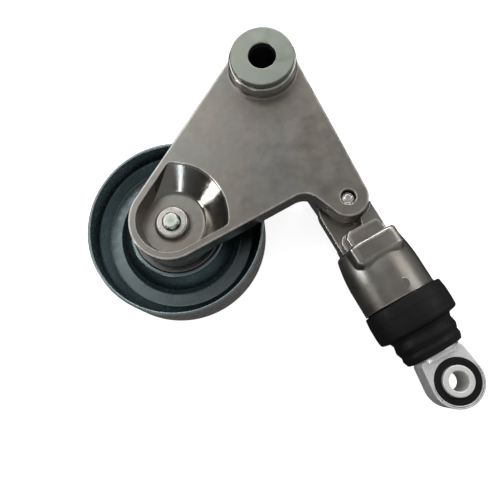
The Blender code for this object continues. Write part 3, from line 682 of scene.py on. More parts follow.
def dish_patch(work, s, rim_normals):
    """The dish round the bolt, on a polar grid about the bolt. The height is the greatest of
    the floor, a cone and a steep wall that follows the arm's rim, cut off at the plate's
    front face, each joint being rounded. The two normals are those of the straight sides
    that meet the rim's arc."""
    front, floor = s.front, s.dish_floor
    mouth, floor_radius = s.dish_mouth, s.dish_floor_radius
    rim = s.pulley_radius - s.wall
    first, last = (math.atan2(normal[1], normal[0]) for normal in rim_normals)
    angle = first + full_turn(360)
    turned = (angle - first) % (2.0 * math.pi)
    arc = (last - first) % (2.0 * math.pi)
    bound = np.where(turned <= arc, rim, np.minimum(
        ray_to_line(angle, rim_normals[0], rim), ray_to_line(angle, rim_normals[1], rim)))
    bound = smooth_least(bound, mouth, 1.6)
    inner = 9.2
    outward = np.concatenate([np.linspace(0.0, 0.55, 18, endpoint=False),
                              np.linspace(0.55, 1.0, 56)])[::-1]
    radius = inner + (bound[:, None] + 1.3 - inner) * outward
    cone = floor + (radius - floor_radius) * (front - floor) / (mouth - floor_radius)
    wall = front + (radius - bound[:, None]) * 7.0
    slope = -smooth_least(-cone, -floor, 0.7)
    height = smooth_least(-smooth_least(-slope, -wall, 1.2), front, 0.8)
    pad = s.pad_top
    inside = filleted([(inner, floor, 0), (7.7, floor, 1.0), (6.9, pad, 0.9),
                       (4.05, pad, 0.2), (4.0, s.back, 0.2),
                       (4.8, s.back, 0)], steps=6)[1:]
    inside = np.broadcast_to(inside, (len(angle), *inside.shape))
    rows = np.concatenate([np.stack([radius, height], -1), inside], 1)
    return work.grid(around(PULLEY, angle, rows[..., 0], rows[..., 1]))


def pocket_loop(centre, lines, discs):
    """A pocket's outline about its centre. Along each angle the reach is the least distance
    to the lines (normal, distance) and discs (x, y, radius) round it, and corners are
    rounded by taking the inverse twelfth root of the sum of inverse twelfth powers."""
    angle = full_turn(160)
    ray = np.stack([np.cos(angle), np.sin(angle)], -1)
    reach = []
    for normal, distance in lines:
        reach.append(ray_to_line(angle, normal, distance - np.dot(normal, centre)))
    for x, y, radius in discs:
        to_disc = np.array([x, y]) - centre
        ahead = ray @ to_disc
        under = ahead ** 2 - (to_disc @ to_disc - radius ** 2)
        hit = (under > 0.0) & (ahead > 0.0)
        reach.append(np.where(hit, ahead - np.sqrt(np.maximum(under, 0.0)), 1000.0))
    power = 12.0
    reach = np.sum(np.array(reach) ** -power, axis=0) ** (-1.0 / power)
    return centre, ray, reach


def pocket_patch(work, outline, low, floor):
    """A pocket's rounded wall and floor. The wall leans in as it goes deeper."""
    centre, ray, reach = outline
    profile = filleted([(-0.9, low, 0), (0.0, low, 0.5), (0.5, floor, 1.4), (3.0, floor, 0)],
                       steps=5)
    radius = reach[:, None] - profile[None, :, 0]
    flat = centre + ray[:, None, :] * radius[..., None]
    height = np.broadcast_to(profile[None, :, 1], radius.shape)[..., None]
    points = work.grid(np.concatenate([flat, height], -1))
    work.fill(points[:, -1])
    return points[:, 0]


def arm_pockets(work, s):
    """Four lightening pockets in the back, parted by a rib and a cross brace."""
    back, floor = s.back, s.front - 5.0
    circles = arm_circles(s)
    inset = s.wall + 1.0
    sides = []
    for first, second in ((0, 1), (3, 0), (1, 2)):
        x, y, radius = circles[first]
        normal = side_normal(circles[first], circles[second])
        sides.append((normal, normal @ np.array([x, y]) + radius - inset))
    left, right, low_side = sides
    half = 1.5
    rib_way = NOTCH / np.linalg.norm(NOTCH)
    rib_right = (np.array([-rib_way[1], rib_way[0]]), -half)
    rib_left = (-rib_right[0], -half)
    brace = (PULLEY[1] + PIN[1]) / 4.0 - 3.0
    above = (np.array([0.0, -1.0]), -brace - half)
    below = (np.array([0.0, 1.0]), brace - half)
    pivot_keep = (0.0, 0.0, s.pivot_radius + 3.3)
    dish_keep = (*PULLEY, s.dish_mouth + 1.6)
    lug_keep = (*PIN, 19.9)
    x, y, radius = circles[2]
    notch_keep = (x, y, inset - radius)
    loops = []
    for centre, lines, discs in (
            ((-6.5, -27.0), (left, rib_right, above), (pivot_keep,)),
            ((12.5, -27.0), (right, rib_left, above), (pivot_keep,)),
            ((-3.0, -48.0), (left, rib_right, below, low_side), (dish_keep, notch_keep)),
            ((18.5, -43.5), (right, rib_left, below), (lug_keep, notch_keep))):
        outline = pocket_loop(np.array(centre), lines, discs)
        loops.append(pocket_patch(work, outline, back, floor))
    return loops


def mark_polish(mesh, s):
    """Writes how polished the arm's skin is: full on the dish's slopes, none elsewhere."""
    places = vertex_places(mesh)
    reach = np.hypot(places[:, 0] - PULLEY[0], places[:, 1] - PULLEY[1])
    on_slope = np.clip(reach - s.dish_floor_radius + 0.5, 0.0, 1.0)
    below = np.clip((s.front - places[:, 2]) / 0.6, 0.0, 1.0)
    inside = np.clip((s.dish_mouth + 1.0 - reach) / 0.5, 0.0, 1.0)
    above = places[:, 2] > s.dish_floor - 0.2
    within = inside_rim(places[:, :2], s)
    write_attribute(mesh, "polish", on_slope * below * inside * above * within)


def inside_rim(plan, s):
    """One inside the arm's rim and none on its outer wall."""
    points, normals = belt_run(arm_circles(s), math.radians(8.0))
    apart = plan[:, None, :] - points[None, :, :]
    nearest = np.argmin((apart ** 2).sum(-1), axis=1)
    depth = -(apart[np.arange(len(plan)), nearest] * normals[nearest]).sum(-1)
    return np.clip((depth - 1.5) / 0.5, 0.0, 1.0)


class TENSIONER_OT_arm(bpy.types.Operator):
    """Build the cast arm: plate with its dish and rear pockets, bosses and fork ear"""
    bl_idname = "tensioner.arm"
    bl_label = "Arm"

    def execute(self, context):
        s = sizes("arm")
        material = finishes()["die_cast_aluminium"]
        self.plate(s, material)
        self.bosses(s, material)
        self.fork(material)
        return {"FINISHED"}

    def plate(self, s, material):
        """The plate: its side swept round the belt of circles, then the dish, two holes and
        the rear pockets, with flat faces filled in between."""
        front, back, edge = s.front, s.back, s.edge
        work = Patchwork()
        circles = arm_circles(s)
        profile = filleted([(edge + 0.12, front, 0), (0.0, front, edge), (0.25, back, 0.6),
                            (1.0, back, 0)], steps=7)
        wall = work.sweep(*belt_run(circles), profile)
        tops, bottoms = [wall[:, 0]], [wall[:, -1]]
        rim_normals = [side_normal(circles[i], circles[i + 1]) for i in (0, 1)]
        dish = dish_patch(work, s, rim_normals)
        tops.append(dish[:, 0])
        bottoms.append(dish[:, -1])
        for centre, radius, hole_edge in ((PIVOT, 12.5, 0.2), (PIN, 3.3, 0.65)):
            bore = work.hole(centre, radius, back, front, 0.2, hole_edge, 72, 5)
            tops.append(bore[:, 0])
            bottoms.append(bore[:, -1])
        bottoms += arm_pockets(work, s)
        work.fill(*tops)
        work.fill(*bottoms)
        mark_polish(work.build("arm_plate", "arm", material, "arm_casting").data, s)

    def bosses(self, s, material):
        """The turned bosses at the pivot and behind the bolt."""
        front, top, radius, bore = s.front, s.boss_top, s.pivot_radius, 10.9
        work = Patchwork()
        work.turn(filleted([
            (bore, top, 0.3), (radius - 0.1, top, 0.9), (radius, front, 0.1),
            (radius - 0.1, s.back, 0.1), (14.5, 22.0, 0.6), (14.3, 3.3, 0.8),
            (bore, 3.3, 0.3)], True), upright(PIVOT), 128)
        self.base_fillet(work, radius, front)
        work.build("pivot_boss", "arm", material, "arm_casting")
        turned_piece("pulley_boss", "arm", "die_cast_aluminium", "arm_casting", PULLEY, [
            (4.2, 26.0, 0.1), (15.0, 26.0, 0.1), (13.3, 23.8, 1.0), (13.0, 19.9, 0.4),
            (4.2, 19.9, 0.3)])

    def base_fillet(self, work, radius, front):
        """The fillet between plate and pivot boss. Its width fades out towards the sides,
        where the plate's edge runs into the boss."""
        angle = full_turn(160)
        from_middle = np.abs((angle - math.radians(270.0) + math.pi) % (2.0 * math.pi)
                             - math.pi)
        fade = (math.radians(116.0) - from_middle) / math.radians(46.0)
        width = 0.9 * smooth_step(fade) + 0.01
        bend = np.linspace(0.0, math.pi / 2.0, 9)
        out = np.concatenate([1.0 - np.sin(bend), [-0.4, -0.4, 1.3, 1.3]])
        rise = np.concatenate([1.0 - np.cos(bend), [1.0, -0.4, -0.4, -0.03]])
        out = radius - 0.02 + out[None] * width[:, None]
        height = front + rise[None] * width[:, None]
        work.grid(around(PIVOT, angle, out, height), True, True)

    def fork(self, material):
        """The rear ear, the web that carries it and the seat round the pin. Points (u, v)
        lie u along the ear from the pin and v to its left."""
        heading, ear, corner = math.radians(122.0), 9.0, 1.0
        across, up = math.cos(heading), math.sin(heading)

        def placed(points):
            return [(PIN[0] + u * across - v * up, PIN[1] + u * up + v * across, corner)
                    for u, v in points]
        circles = [(*PIN, ear), *placed([(15.6, -8.0), (15.6, 8.0)])]
        work = Patchwork()
        work.slab(*belt_run(circles), 2.3, 11.7, 0.7, [(PIN, 3.25, 0.4)])
        plan = placed([(16.6, -8.5), (16.6, 8.5), (12.6, 8.5), (12.6, -8.5)])
        work.slab(*filleted(plan, True, outward=True), 3.0, 25.6, 0.4)
        work.turn(filleted([(3.25, 25.5, 0.1), (8.4, 25.5, 0.1), (7.7, 23.6, 0.6),
                            (7.7, 21.3, 0.4), (3.25, 21.3, 0.2)], True), upright(PIN), 64)
        work.build("fork_ear", "arm", material, "arm_casting")


# ------------------------------------------------------------------ pivot

class TENSIONER_OT_pivot(bpy.types.Operator):
    """Build the plated end discs and the bolt sleeve that the arm turns on"""
    bl_idname = "tensioner.pivot"
    bl_label = "Pivot"

    def execute(self, context):
        top, thick, hole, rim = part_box("pivot_front_disc")[1][2] * 1000.0, 3.0, 6.0, 14.0
        turned_piece("front_disc", "pivot", "zinc_plated_steel", "pivot_front_disc", PIVOT, [
            (hole, top, 0.45), (rim, top, 0.55), (rim, top - thick, 0.5),
            (hole, top - thick, 0.2)], 128)
        turned_piece("rear_disc", "pivot", "zinc_plated_steel", "pivot_rear_disc", PIVOT, [
            (hole, thick, 0.2), (rim, thick, 0.5), (rim, 0.0, 0.6), (hole, 0.0, 0.45)], 128)
        turned_piece("bolt_sleeve", "pivot", "sleeve_steel", "pivot_sleeve", PIVOT, [
            (hole + 0.05, 43.4, 0.2), (9.0, 43.4, 0.2), (9.0, thick, 0.2),
            (hole + 0.05, thick, 0.2)])
        return {"FINISHED"}


# ------------------------------------------------------------------ pulley

class TENSIONER_OT_pulley(bpy.types.Operator):
    """Build the pressed pulley with its rim, web and bearing hub"""
    bl_idname = "tensioner.pulley"
    bl_label = "Pulley"

    def execute(self, context):
        s = sizes("pulley")
        radius, front = s.radius, s.front
        inner = radius - s.sheet
        web, hub, top = s.web, s.hub_radius, s.hub_top
        back = web - s.sheet
        bore = 20.05
        turned_piece("pressed_pulley", "pulley", "zinc_plated_sheet", "pulley_shell", PULLEY, [
            (inner, front, 0.6), (radius - 0.05, front, 0.7), (radius, front / 2.0, 0.1),
            (radius - 0.05, 0.0, 0.8), (inner, 0.0, 0.7), (inner, back, 1.6),
            (bore + 3.4, back, 0.5), (bore + 2.0, 4.2, 0.5), (bore - 2.0, 4.2, 0.3),
            (bore - 2.0, 5.7, 0.3), (bore, 5.9, 0.1), (bore, top, 0.5), (hub, top, 1.2),
            (hub + 4.6, web + 1.6, 1.6), (hub + 6.6, web, 1.2), (inner - 4.4, web, 1.2),
            (inner - 0.3, web + 4.4, 2.6)], 160, rounding=7)
        return {"FINISHED"}


class TENSIONER_OT_bearing(bpy.types.Operator):
    """Build the bearing's rings and seals, and the shield and spacer beside it"""
    bl_idname = "tensioner.bearing"
    bl_label = "Bearing"

    def execute(self, context):
        self.ring("inner_race", "arm", "bearing_inner_ring", 8.5, 12.0)
        self.ring("outer_race", "pulley", "bearing_outer_ring", 20.0, 16.6)
        thin, thick = 0.7, 0.8
        for name, node, low in (("front_seal", "bearing_seal_front", 16.7),
                                ("rear_seal", "bearing_seal_rear", 6.5)):
            turned_piece(name, "pulley", "black_rubber", node, PULLEY, [
                (12.3, low + thick, 0.2), (13.2, low + thick, 0.2), (13.6, low + thin, 0.2),
                (15.4, low + thin, 0.2), (15.8, low + thick, 0.2), (16.3, low + thick, 0.2),
                (16.3, low, 0.2), (12.3, low, 0.2)], rounding=3)
        hole = 4.15
        turned_piece("shield", "arm", "shield_zinc", "dust_shield", PULLEY, [
            (hole, 19.6, 0.1), (12.0, 19.6, 1.0), (16.6, 19.3, 0.4), (17.5, 18.8, 0.2),
            (17.4, 18.3, 0.2), (16.4, 18.7, 0.4), (12.0, 18.9, 0.6), (hole, 18.9, 0.1)])
        turned_piece("spacer", "arm", "bolt_zinc", "bearing_spacer", PULLEY, [
            (hole, 17.9, 0.2), (8.2, 17.9, 0.3), (8.2, 5.7, 0.2), (11.0, 5.7, 0.4),
            (11.0, 4.5, 0.4), (hole, 4.5, 0.2)])
        return {"FINISHED"}

    def ring(self, name, body, node, plain, grooved):
        """A race between its plain radius and the one with the balls' groove. The groove's
        section is an arc of the ball's circle, which is centred on the pitch radius."""
        low, high, pitch, ball = 6.0, 18.0, 14.3, 3.4
        toward = math.copysign(1.0, grooved - pitch)
        half = math.acos(abs(pitch - grooved) / ball)
        bend = np.linspace(half, -half, 13) * -toward
        groove = np.stack([pitch + toward * ball * np.cos(bend),
                           (low + high) / 2.0 + ball * np.sin(bend)], -1)
        near, far = (high, low) if grooved < pitch else (low, high)
        start = (plain, low + 1.0, 0)
        path = np.concatenate([
            filleted([start, (plain, near, 0.6), (grooved, near, 0.3), (*groove[0], 0)]),
            groove,
            filleted([(*groove[-1], 0), (grooved, far, 0.3), (plain, far, 0.6), start])[1:]])
        work = Patchwork()
        work.turn(path[:-1], upright(PULLEY))
        work.build(name, body, finishes()["bearing_steel"], node)


class TENSIONER_OT_bolts(bpy.types.Operator):
    """Build the pulley bolt and the fork pin"""
    bl_idname = "tensioner.bolts"
    bl_label = "Bolt and pin"

    def execute(self, context):
        self.pulley_bolt(finishes()["bolt_zinc"])
        turned_piece("fork_pin", "arm", "pin_steel", "damper_pin", PIN, [
            (0.0, 35.1, 0), (1.2, 35.1, 0.8), (2.3, 34.6, 0.5), (3.0, 33.6, 0.4),
            (3.0, 2.0, 0.2), (5.5, 2.0, 0.4), (5.5, 0.0, 0.5), (0.0, 0.0, 0)], 64, False)
        return {"FINISHED"}

    def pulley_bolt(self, material):
        """A stud end swaged to six soft facets, then the shank, flange and six-sided head.
        Along each angle the radius is the least of the round section and the flats."""
        profile = filleted([
            (0.0, 34.2, 0), (3.0, 34.2, 0.4), (3.85, 33.4, 0.3), (3.85, 28.0, 0.2),
            (3.8, 4.2, 0.3), (8.0, 4.2, 0.4), (8.0, 3.1, 0.4), (6.6, 2.9, 0.2),
            (6.9, 2.4, 0.3), (6.9, 0.7, 0.3), (6.2, 0.3, 0.3), (0.0, 0.3, 0)], steps=4)
        count = 120
        angle = np.arange(count) * 2.0 * math.pi / count
        sixth = (angle + math.radians(11.0)) % (math.pi / 3.0) - math.pi / 6.0
        flat = 1.0 / np.cos(sixth)
        radius = np.broadcast_to(profile[:, 0], (count, len(profile)))
        level = profile[:, 1]
        tip = np.minimum(radius, 3.62 * flat[:, None])
        head = np.minimum(radius, 6.05 * flat[:, None])
        radius = np.where(level > 29.0, tip, np.where(level < 2.95, head, radius))
        height = np.broadcast_to(level, radius.shape)
        work = Patchwork()
        work.grid(around(PULLEY, angle, radius, height))
        work.build("stud_bolt", "arm", material, "pulley_bolt")


# ------------------------------------------------------------------ damper

class TENSIONER_OT_housing(bpy.types.Operator):
    """Build the damper's cast housing: round body, squared head, neck and tongue"""
    bl_idname = "tensioner.housing"
    bl_label = "Damper housing"

    def execute(self, context):
        material = finishes()["die_cast_aluminium"]
        s = sizes("damper")
        self.body(s, material)
        self.neck(s, material)
        return {"FINISHED"}

    def body(self, s, material):
        """Along the stations the section is a circle joined with a rounded box, whose
        radius at angle t is the inverse p-th root of (|cos t| / a) ** p + (|sin t| / b) ** p.
        The greater of the two radii counts, with the joint rounded, and the box's half
        depth b sinks into the circle past the head."""
        start, end, bore, socket, socket_end = 18.9, 57.0, 26.0, 8.3, 22.1
        mouth, groove_low, groove_high = 2.9, 54.5, 55.9
        head_end, fading, flare_length, rounding = 26.6, 5.4, 17.0, 0.8
        path = filleted([(7.0, start, 0), (0.0, start, 1.3), (0.0, 47.2, 0.3),
                         (0.8, 47.6, 0.2), (0.8, end, 0.4), (mouth, end, 0.4),
                         (mouth, groove_high, 0.1), (1.65, groove_high, 0.1),
                         (1.65, groove_low, 0.1), (mouth, groove_low, 0.1),
                         (mouth, bore, 0.3), (socket, bore, 0.2), (socket, socket_end, 0)],
                        steps=6)
        path = divided(path, 0.45)
        inset, station = path[:, 0], path[:, 1]
        inner = (inset > 1.5) & (np.arange(len(path)) > len(path) // 2)
        flare = np.clip((station - start) / flare_length, 0.0, 1.0)
        circle = s.body_radius - 2.2 * (1.0 - flare) ** 2 * ~inner - inset
        ease = np.where(inner, 1.0, smooth_step((station - head_end) / fading))
        angle = full_turn(288)
        wide = 0.9 * np.clip(np.cos(angle) * 4.0, 0.0, 1.0)[:, None]
        half = np.maximum(s.head_half - 3.0 * ease - inset, 1.0) + wide * ~inner
        deep = s.head_front - 3.6 * ease - inset
        power = s.squareness
        cos, sin = np.abs(np.cos(angle))[:, None], np.abs(np.sin(angle))[:, None]
        box = ((cos / half) ** power + (sin / deep) ** power) ** (-1.0 / power)
        radius = -smooth_least(-box, -circle, rounding)
        across = radius * np.cos(angle)[:, None]
        across -= 0.8 * np.clip((47.5 - station) / 0.5, 0.0, 1.0) * ~inner
        lift = radius * np.sin(angle)[:, None]
        lift = lift + self.panel(across, lift, np.broadcast_to(station, across.shape))
        pole = np.zeros((len(angle), 1))
        across = np.concatenate([pole, across, pole], 1)
        lift = np.concatenate([pole, lift, pole], 1)
        station = np.concatenate([[start], station, [socket_end]])
        origin, first, second, axis = along_damper()
        points = (origin + across[..., None] * first + lift[..., None] * second
                  + station[None, :, None] * axis)
        work = Patchwork()
        work.grid(points)
        top = DAMPER_LEVEL + s.body_radius
        spot, size = damper_plan([(42.8, 0.9)])[0], 2.5
        work.turn(filleted([
            (0.0, top - 0.05, 0), (size - 0.5, top - 0.05, 0.2), (size, top - 0.12, 0.2),
            (size + 0.1, top - 0.8, 0), (0.0, top - 0.8, 0)], steps=3),
            upright(spot), 48, False)
        work.build("housing_body", "damper_cylinder", material, "damper_housing")

    def panel(self, across, lift, station):
        """A shallow sunk panel on the head's front, with soft edges."""
        def step(value, place, width):
            return smooth_step((value - place) / width + 0.5)
        inside = (step(station, 21.2, 0.6) * (1.0 - step(station, 27.4, 1.6))
                  * step(across, -8.4, 0.6) * (1.0 - step(across, 8.4, 2.4)))
        return np.where(lift > 8.0, -0.10 * inside, 0.0)

    def neck(self, s, material):
        """Front and rear blocks with their prongs, and the tongue between them. Each is a
        slab with round edges; a prong's side follows the circle that the lug turns in."""
        work = Patchwork()
        half, far = s.neck_half, -11.3
        swing = 9.5
        bend = np.linspace(math.radians(50.0), math.radians(4.0), 12)
        arc = [(swing * math.cos(t), swing * math.sin(t), 0.0) for t in bend]
        prong = [(16.5, half, 1.0), (4.4, half, 0.8), *arc, (13.0, -0.4, 1.2),
                 (16.5, -0.4, 1.0)]
        for low, high, left, edge in ((20.0, 31.8, -9.2, 2.4), (20.4, 27.6, far, 1.6),
                                      (5.8, 12.6, far, 1.6)):
            block = [(21.6, half, 3.0), (11.9, half, 3.0), (11.9, left, 3.4),
                     (21.6, left, 3.0)]
            work.slab(*damper_loop(block), low, high, edge, steps=7)
            if high != 27.6:
                work.slab(*damper_loop(prong), low, high - 0.02, 0.45)
        width, shift, corner = 10.6, PIN - 1.4 * ACROSS, 1.0
        far_end, side = shift + ALONG * 20.4, ACROSS * (width - corner)
        circles = [(*shift, width), (*(far_end - side), corner), (*(far_end + side), corner)]
        work.slab(*belt_run(circles), 12.0, 21.0, 0.7, [(PIN, 4.6, 0.3)])
        work.build("housing_neck", "damper_cylinder", material, "damper_housing")


class TENSIONER_OT_boot(bpy.types.Operator):
    """Build the rubber boot and the return spring"""
    bl_idname = "tensioner.boot"
    bl_label = "Boot and spring"

    def execute(self, context):
        s = sizes("damper")
        cuff = s.boot_radius
        outside = [(16.7, 47.5, 0.4), (cuff - 0.5, 47.6, 1.1), (cuff, 52.0, 2.0),
                   (cuff, 57.0, 2.0), (cuff - 0.3, 60.9, 1.6), (14.3, 61.8, 0.8),
                   (13.7, 63.4, 0.8), (14.3, 66.6, 2.0), (13.3, 69.2, 0.9),
                   (13.6, 70.9, 0.9), (12.7, 73.5, 1.0)]
        inside = [(10.7, 73.5, 0.5), (10.7, 71.2, 0.5), (11.9, 68.9, 0.8),
                  (12.2, 61.9, 0.9), (14.0, 59.0, 0.6), (14.3, 57.3, 0.2),
                  (15.8, 57.3, 0.2)]
        work = Patchwork()
        work.turn(divided(filleted(outside + inside, True, 7), 0.7, True), along_damper(),
                  144)
        boot = work.build("boot", None, finishes()["black_rubber"], "rubber_boot")
        self.bend(boot, 56.5, 73.6)
        spring = self.spring(s)
        self.bend(spring, 26.6, 51.4)
        return {"FINISHED"}

    def bend(self, obj, start, end):
        """Bakes the piece's place into its mesh. The stations start and end are not used."""
        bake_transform(obj)

    def spring(self, s):
        """A wire carried along a helix: its centre is at mean radius and angle t, and the
        station grows in step with t. The section shrinks to a point at both ends."""
        mean, wire, low, high = 10.9, 1.1, 27.4, 50.6
        count = s.coils * 40
        turn = np.linspace(0.0, s.coils * 2.0 * math.pi, count)
        radial = np.stack([np.cos(turn), np.sin(turn), np.zeros(count)], -1)
        rise = (high - low) / (s.coils * 2.0 * math.pi)
        way = np.stack([-mean * np.sin(turn), mean * np.cos(turn), np.full(count, rise)], -1)
        way /= np.linalg.norm(way, axis=1)[:, None]
        side = np.cross(way, radial)
        section = full_turn(12)
        thick = np.full(count, wire)
        thick[[0, -1]] = 0.0
        centre = mean * radial
        centre[:, 2] = low + rise * turn
        local = (centre[:, None, :] + thick[:, None, None]
                 * (np.cos(section)[None, :, None] * radial[:, None, :]
                    + np.sin(section)[None, :, None] * side[:, None, :]))
        origin, first, second, axis = along_damper()
        points = (origin + local[..., :1] * first + local[..., 1:2] * second
                  + local[..., 2:3] * axis)
        work = Patchwork()
        work.grid(points, False, True)
        return work.build("spring", None, finishes()["spring_steel"], "return_spring")


class TENSIONER_OT_lower_eye(bpy.types.Operator):
    """Build the lower eye with its shank, rubber ring and steel sleeve"""
    bl_idname = "tensioner.lower_eye"
    bl_label = "Lower eye"

    def execute(self, context):
        s = sizes("damper")
        half = 8.0
        low, high = DAMPER_LEVEL - half, DAMPER_LEVEL + half
        corner, start, width = 2.4, 73.9, 9.9
        near = PIN + ALONG * (start + corner)
        side = ACROSS * (width - corner)
        work = Patchwork()
        circles = [(*EYE, s.eye_radius), (*(near + side), corner),
                   (*(near - side), corner)]
        work.slab(*belt_run(circles), low, high, 1.0, [(EYE, 9.75, 0.35)], 6)
        work.turn(filleted([
            (0.0, 76.0, 0), (10.2, 76.0, 0.6), (10.6, 74.0, 0.3), (10.6, 54.2, 0.2),
            (13.2, 54.2, 0.4), (13.2, 52.0, 0.4), (8.4, 52.0, 0.3), (8.4, 69.5, 0.3),
            (0.0, 69.5, 0)], steps=5), along_damper(), 96, False)
        for offset in (-7.5, 7.5):
            spot = damper_plan([(78.7, offset)])[0]
            work.turn(filleted([
                (0.0, high + 0.06, 0), (1.25, high + 0.06, 0.1), (1.45, high + 0.02, 0.1),
                (1.6, high - 0.5, 0), (0.0, high - 0.5, 0)],
                steps=2), upright(spot), 40, False)
        work.build("eye_casting", "damper_rod", finishes()["bright_cast_aluminium"],
                   "lower_eye")
        turned_piece("eye_rubber", "damper_rod", "black_rubber", "eye_bush", EYE, [
            (6.75, high - 0.6, 0.4), (9.72, high - 0.3, 0.7), (9.72, low + 0.3, 0.7),
            (6.75, low + 0.6, 0.4)])
        top, bottom = SLEEVE_HIGH[2] * 1000.0, SLEEVE_LOW[2] * 1000.0
        turned_piece("inner_sleeve", "eye_sleeve", "sleeve_zinc", "eye_sleeve", EYE, [
            (4.1, top, 0.5), (6.5, top, 0.5), (6.5, bottom, 0.5), (4.1, bottom, 0.5)])
        return {"FINISHED"}


class TENSIONER_OT_inner_pieces(bpy.types.Operator):
    """Give the pieces that stay as they are in the frame their finishes"""
    bl_idname = "tensioner.inner_pieces"
    bl_label = "Inner pieces"

    def execute(self, context):
        made = finishes()
        for part in frame["record"]["subparts"]:
            node = frame["nodes"][part["node"]]
            if not node.hide_render:
                node.data.materials.clear()
                node.data.materials.append(made[part["material_slot"]])
        return {"FINISHED"}


# ------------------------------------------------------------------ stage

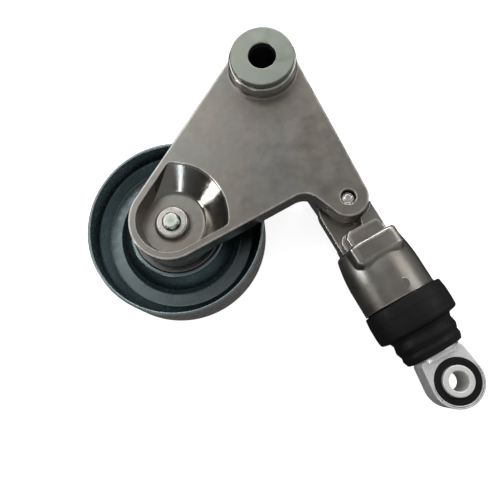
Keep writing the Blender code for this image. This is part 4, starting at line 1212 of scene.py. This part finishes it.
class TENSIONER_OT_stage(bpy.types.Operator):
    """Set the floor, the soft lights and the camera"""
    bl_idname = "tensioner.stage"
    bl_label = "Stage"

    def execute(self, context):
        s = context.scene.tensioner_stage
        self.floor(s)
        self.world(context.scene, s)
        self.light("behind", (0.10, 0.85, 0.62), (0.9, 0.34), s.key)
        self.light("right", (0.72, 0.30, 0.62), (0.40, 0.6), s.key * 0.30)
        self.light("left", (-0.88, -0.30, 0.30), (0.15, 0.34), s.fill)
        self.light("before", (-0.40, -0.82, 0.50), (0.07, 0.26), s.fill * 0.22,
                   (0.90, 0.95, 1.0))
        self.light("high", (-0.5, 0.35, 1.0), (0.8, 0.5), s.key * 0.5)
        self.camera(context.scene, s)
        context.scene.view_settings.view_transform = "Standard"
        return {"FINISHED"}

    def floor(self, s):
        """A flat square grid at the level of the part's lowest face."""
        reach, below = 1500.0, 0.1
        side = np.linspace(-reach, reach, 13)
        x, y = np.meshgrid(side, side, indexing="ij")
        points = np.stack([x, y, np.full_like(x, CAD_BOX[0][2] * 1000.0 - below)], -1)
        finish = Finish("floor_paper", 0.9, 0.0)
        tone = finish.mix(finish.noise(6.0, 2.0), s.floor, tint(s.floor, 0.985))
        finish.link(tone, "Base Color")
        finish.shader.inputs["Emission Color"].default_value = (1.0, 1.0, 1.0, 1.0)
        finish.shader.inputs["Emission Strength"].default_value = s.floor_glow
        finish.shader.inputs["Specular IOR Level"].default_value = 0.0
        mesh = bpy.data.meshes.new("floor")
        work = Patchwork()
        work.grid(points, False, False)
        mesh.from_pydata((np.concatenate(work.points) * 0.001).tolist(), [], work.faces)
        mesh.materials.append(finish.material)
        floor = bpy.data.objects.new("floor", mesh)
        bpy.context.scene.collection.objects.link(floor)
        floor.visible_glossy = False
        floor.visible_diffuse = False

    def world(self, scene, s):
        """Soft light from above that fades towards the ground."""
        world = bpy.data.worlds.new("studio")
        scene.world = world
        world.use_nodes = True
        tree = world.node_tree
        back = tree.nodes["Background"]
        back.inputs["Strength"].default_value = 1.0
        way = tree.nodes.new("ShaderNodeTexCoord").outputs["Generated"]
        aim = tree.nodes.new("ShaderNodeVectorMath")
        aim.operation = "DOT_PRODUCT"
        aim.inputs[1].default_value = (0.55, 0.10, 1.0)
        level = tree.nodes.new("ShaderNodeMapRange")
        level.inputs["From Min"].default_value = -0.15
        level.inputs["From Max"].default_value = 0.35
        level.inputs["To Min"].default_value = s.world * 0.16
        level.inputs["To Max"].default_value = s.world
        tree.links.new(way, aim.inputs[0])
        tree.links.new(aim.outputs["Value"], level.inputs["Value"])
        tree.links.new(level.outputs["Result"], back.inputs["Color"])

    def light(self, name, place, size, power, shade=(1.0, 0.99, 0.97)):
        """A soft rectangular light turned towards the part."""
        data = bpy.data.lights.new(name, "AREA")
        data.color = shade
        data.shape = "RECTANGLE"
        data.size, data.size_y = size
        data.energy = power
        light = bpy.data.objects.new(name, data)
        light.location = place
        middle = Vector((0.0, -0.07, 0.02))
        aim = middle - Vector(place)
        light.rotation_euler = aim.to_track_quat("-Z", "Y").to_euler()
        bpy.context.scene.collection.objects.link(light)

    def camera(self, scene, s):
        """The camera, standing upright and looking a little off straight down."""
        data = bpy.data.cameras.new("camera")
        data.lens = s.lens
        data.sensor_width = 36.0
        camera = bpy.data.objects.new("camera", data)
        place = (0.00883, -0.13629, 0.27408)
        ahead = Vector((-0.0597, 0.2155, -0.9747)).normalized()
        right = ahead.cross(Vector((0.0, 1.0, 0.0))).normalized()
        up = right.cross(ahead)
        turn = Matrix((right, up, -ahead)).transposed()
        camera.matrix_world = Matrix.Translation(place) @ turn.to_4x4()
        scene.collection.objects.link(camera)
        scene.camera = camera


class TENSIONER_PT_build(bpy.types.Panel):
    """Lists the tensioner's pieces and their settings"""
    bl_idname = "TENSIONER_PT_build"
    bl_label = "Belt Tensioner"
    bl_space_type = "VIEW_3D"
    bl_region_type = "UI"
    bl_category = "Tensioner"

    def draw(self, context):
        layout = self.layout
        for operator in STEPS:
            layout.operator(operator.bl_idname)
        for name in SETTINGS:
            group = getattr(context.scene, name)
            box = layout.box()
            for key in group.bl_rna.properties.keys():
                if key not in ("rna_type", "name"):
                    box.prop(group, key)


STEPS = (TENSIONER_OT_pivot, TENSIONER_OT_arm, TENSIONER_OT_pulley, TENSIONER_OT_bearing,
         TENSIONER_OT_bolts, TENSIONER_OT_housing, TENSIONER_OT_boot,
         TENSIONER_OT_lower_eye, TENSIONER_OT_inner_pieces, TENSIONER_OT_stage)
SETTINGS = {
    "tensioner_arm": TensionerArmSettings,
    "tensioner_pulley": TensionerPulleySettings,
    "tensioner_damper": TensionerDamperSettings,
    "tensioner_finish": TensionerFinishSettings,
    "tensioner_stage": TensionerStageSettings,
}


def register():
    for name, group in SETTINGS.items():
        bpy.utils.register_class(group)
        setattr(bpy.types.Scene, name, PointerProperty(type=group))
    for operator in STEPS:
        bpy.utils.register_class(operator)
    bpy.utils.register_class(TENSIONER_PT_build)


def unregister():
    bpy.utils.unregister_class(TENSIONER_PT_build)
    for operator in reversed(STEPS):
        bpy.utils.unregister_class(operator)
    for name, group in SETTINGS.items():
        delattr(bpy.types.Scene, name)
        bpy.utils.unregister_class(group)


def main():
    register()
    for operator in STEPS:
        group, name = operator.bl_idname.split(".")
        getattr(getattr(bpy.ops, group), name)()


if __name__ == "__main__":
    main()
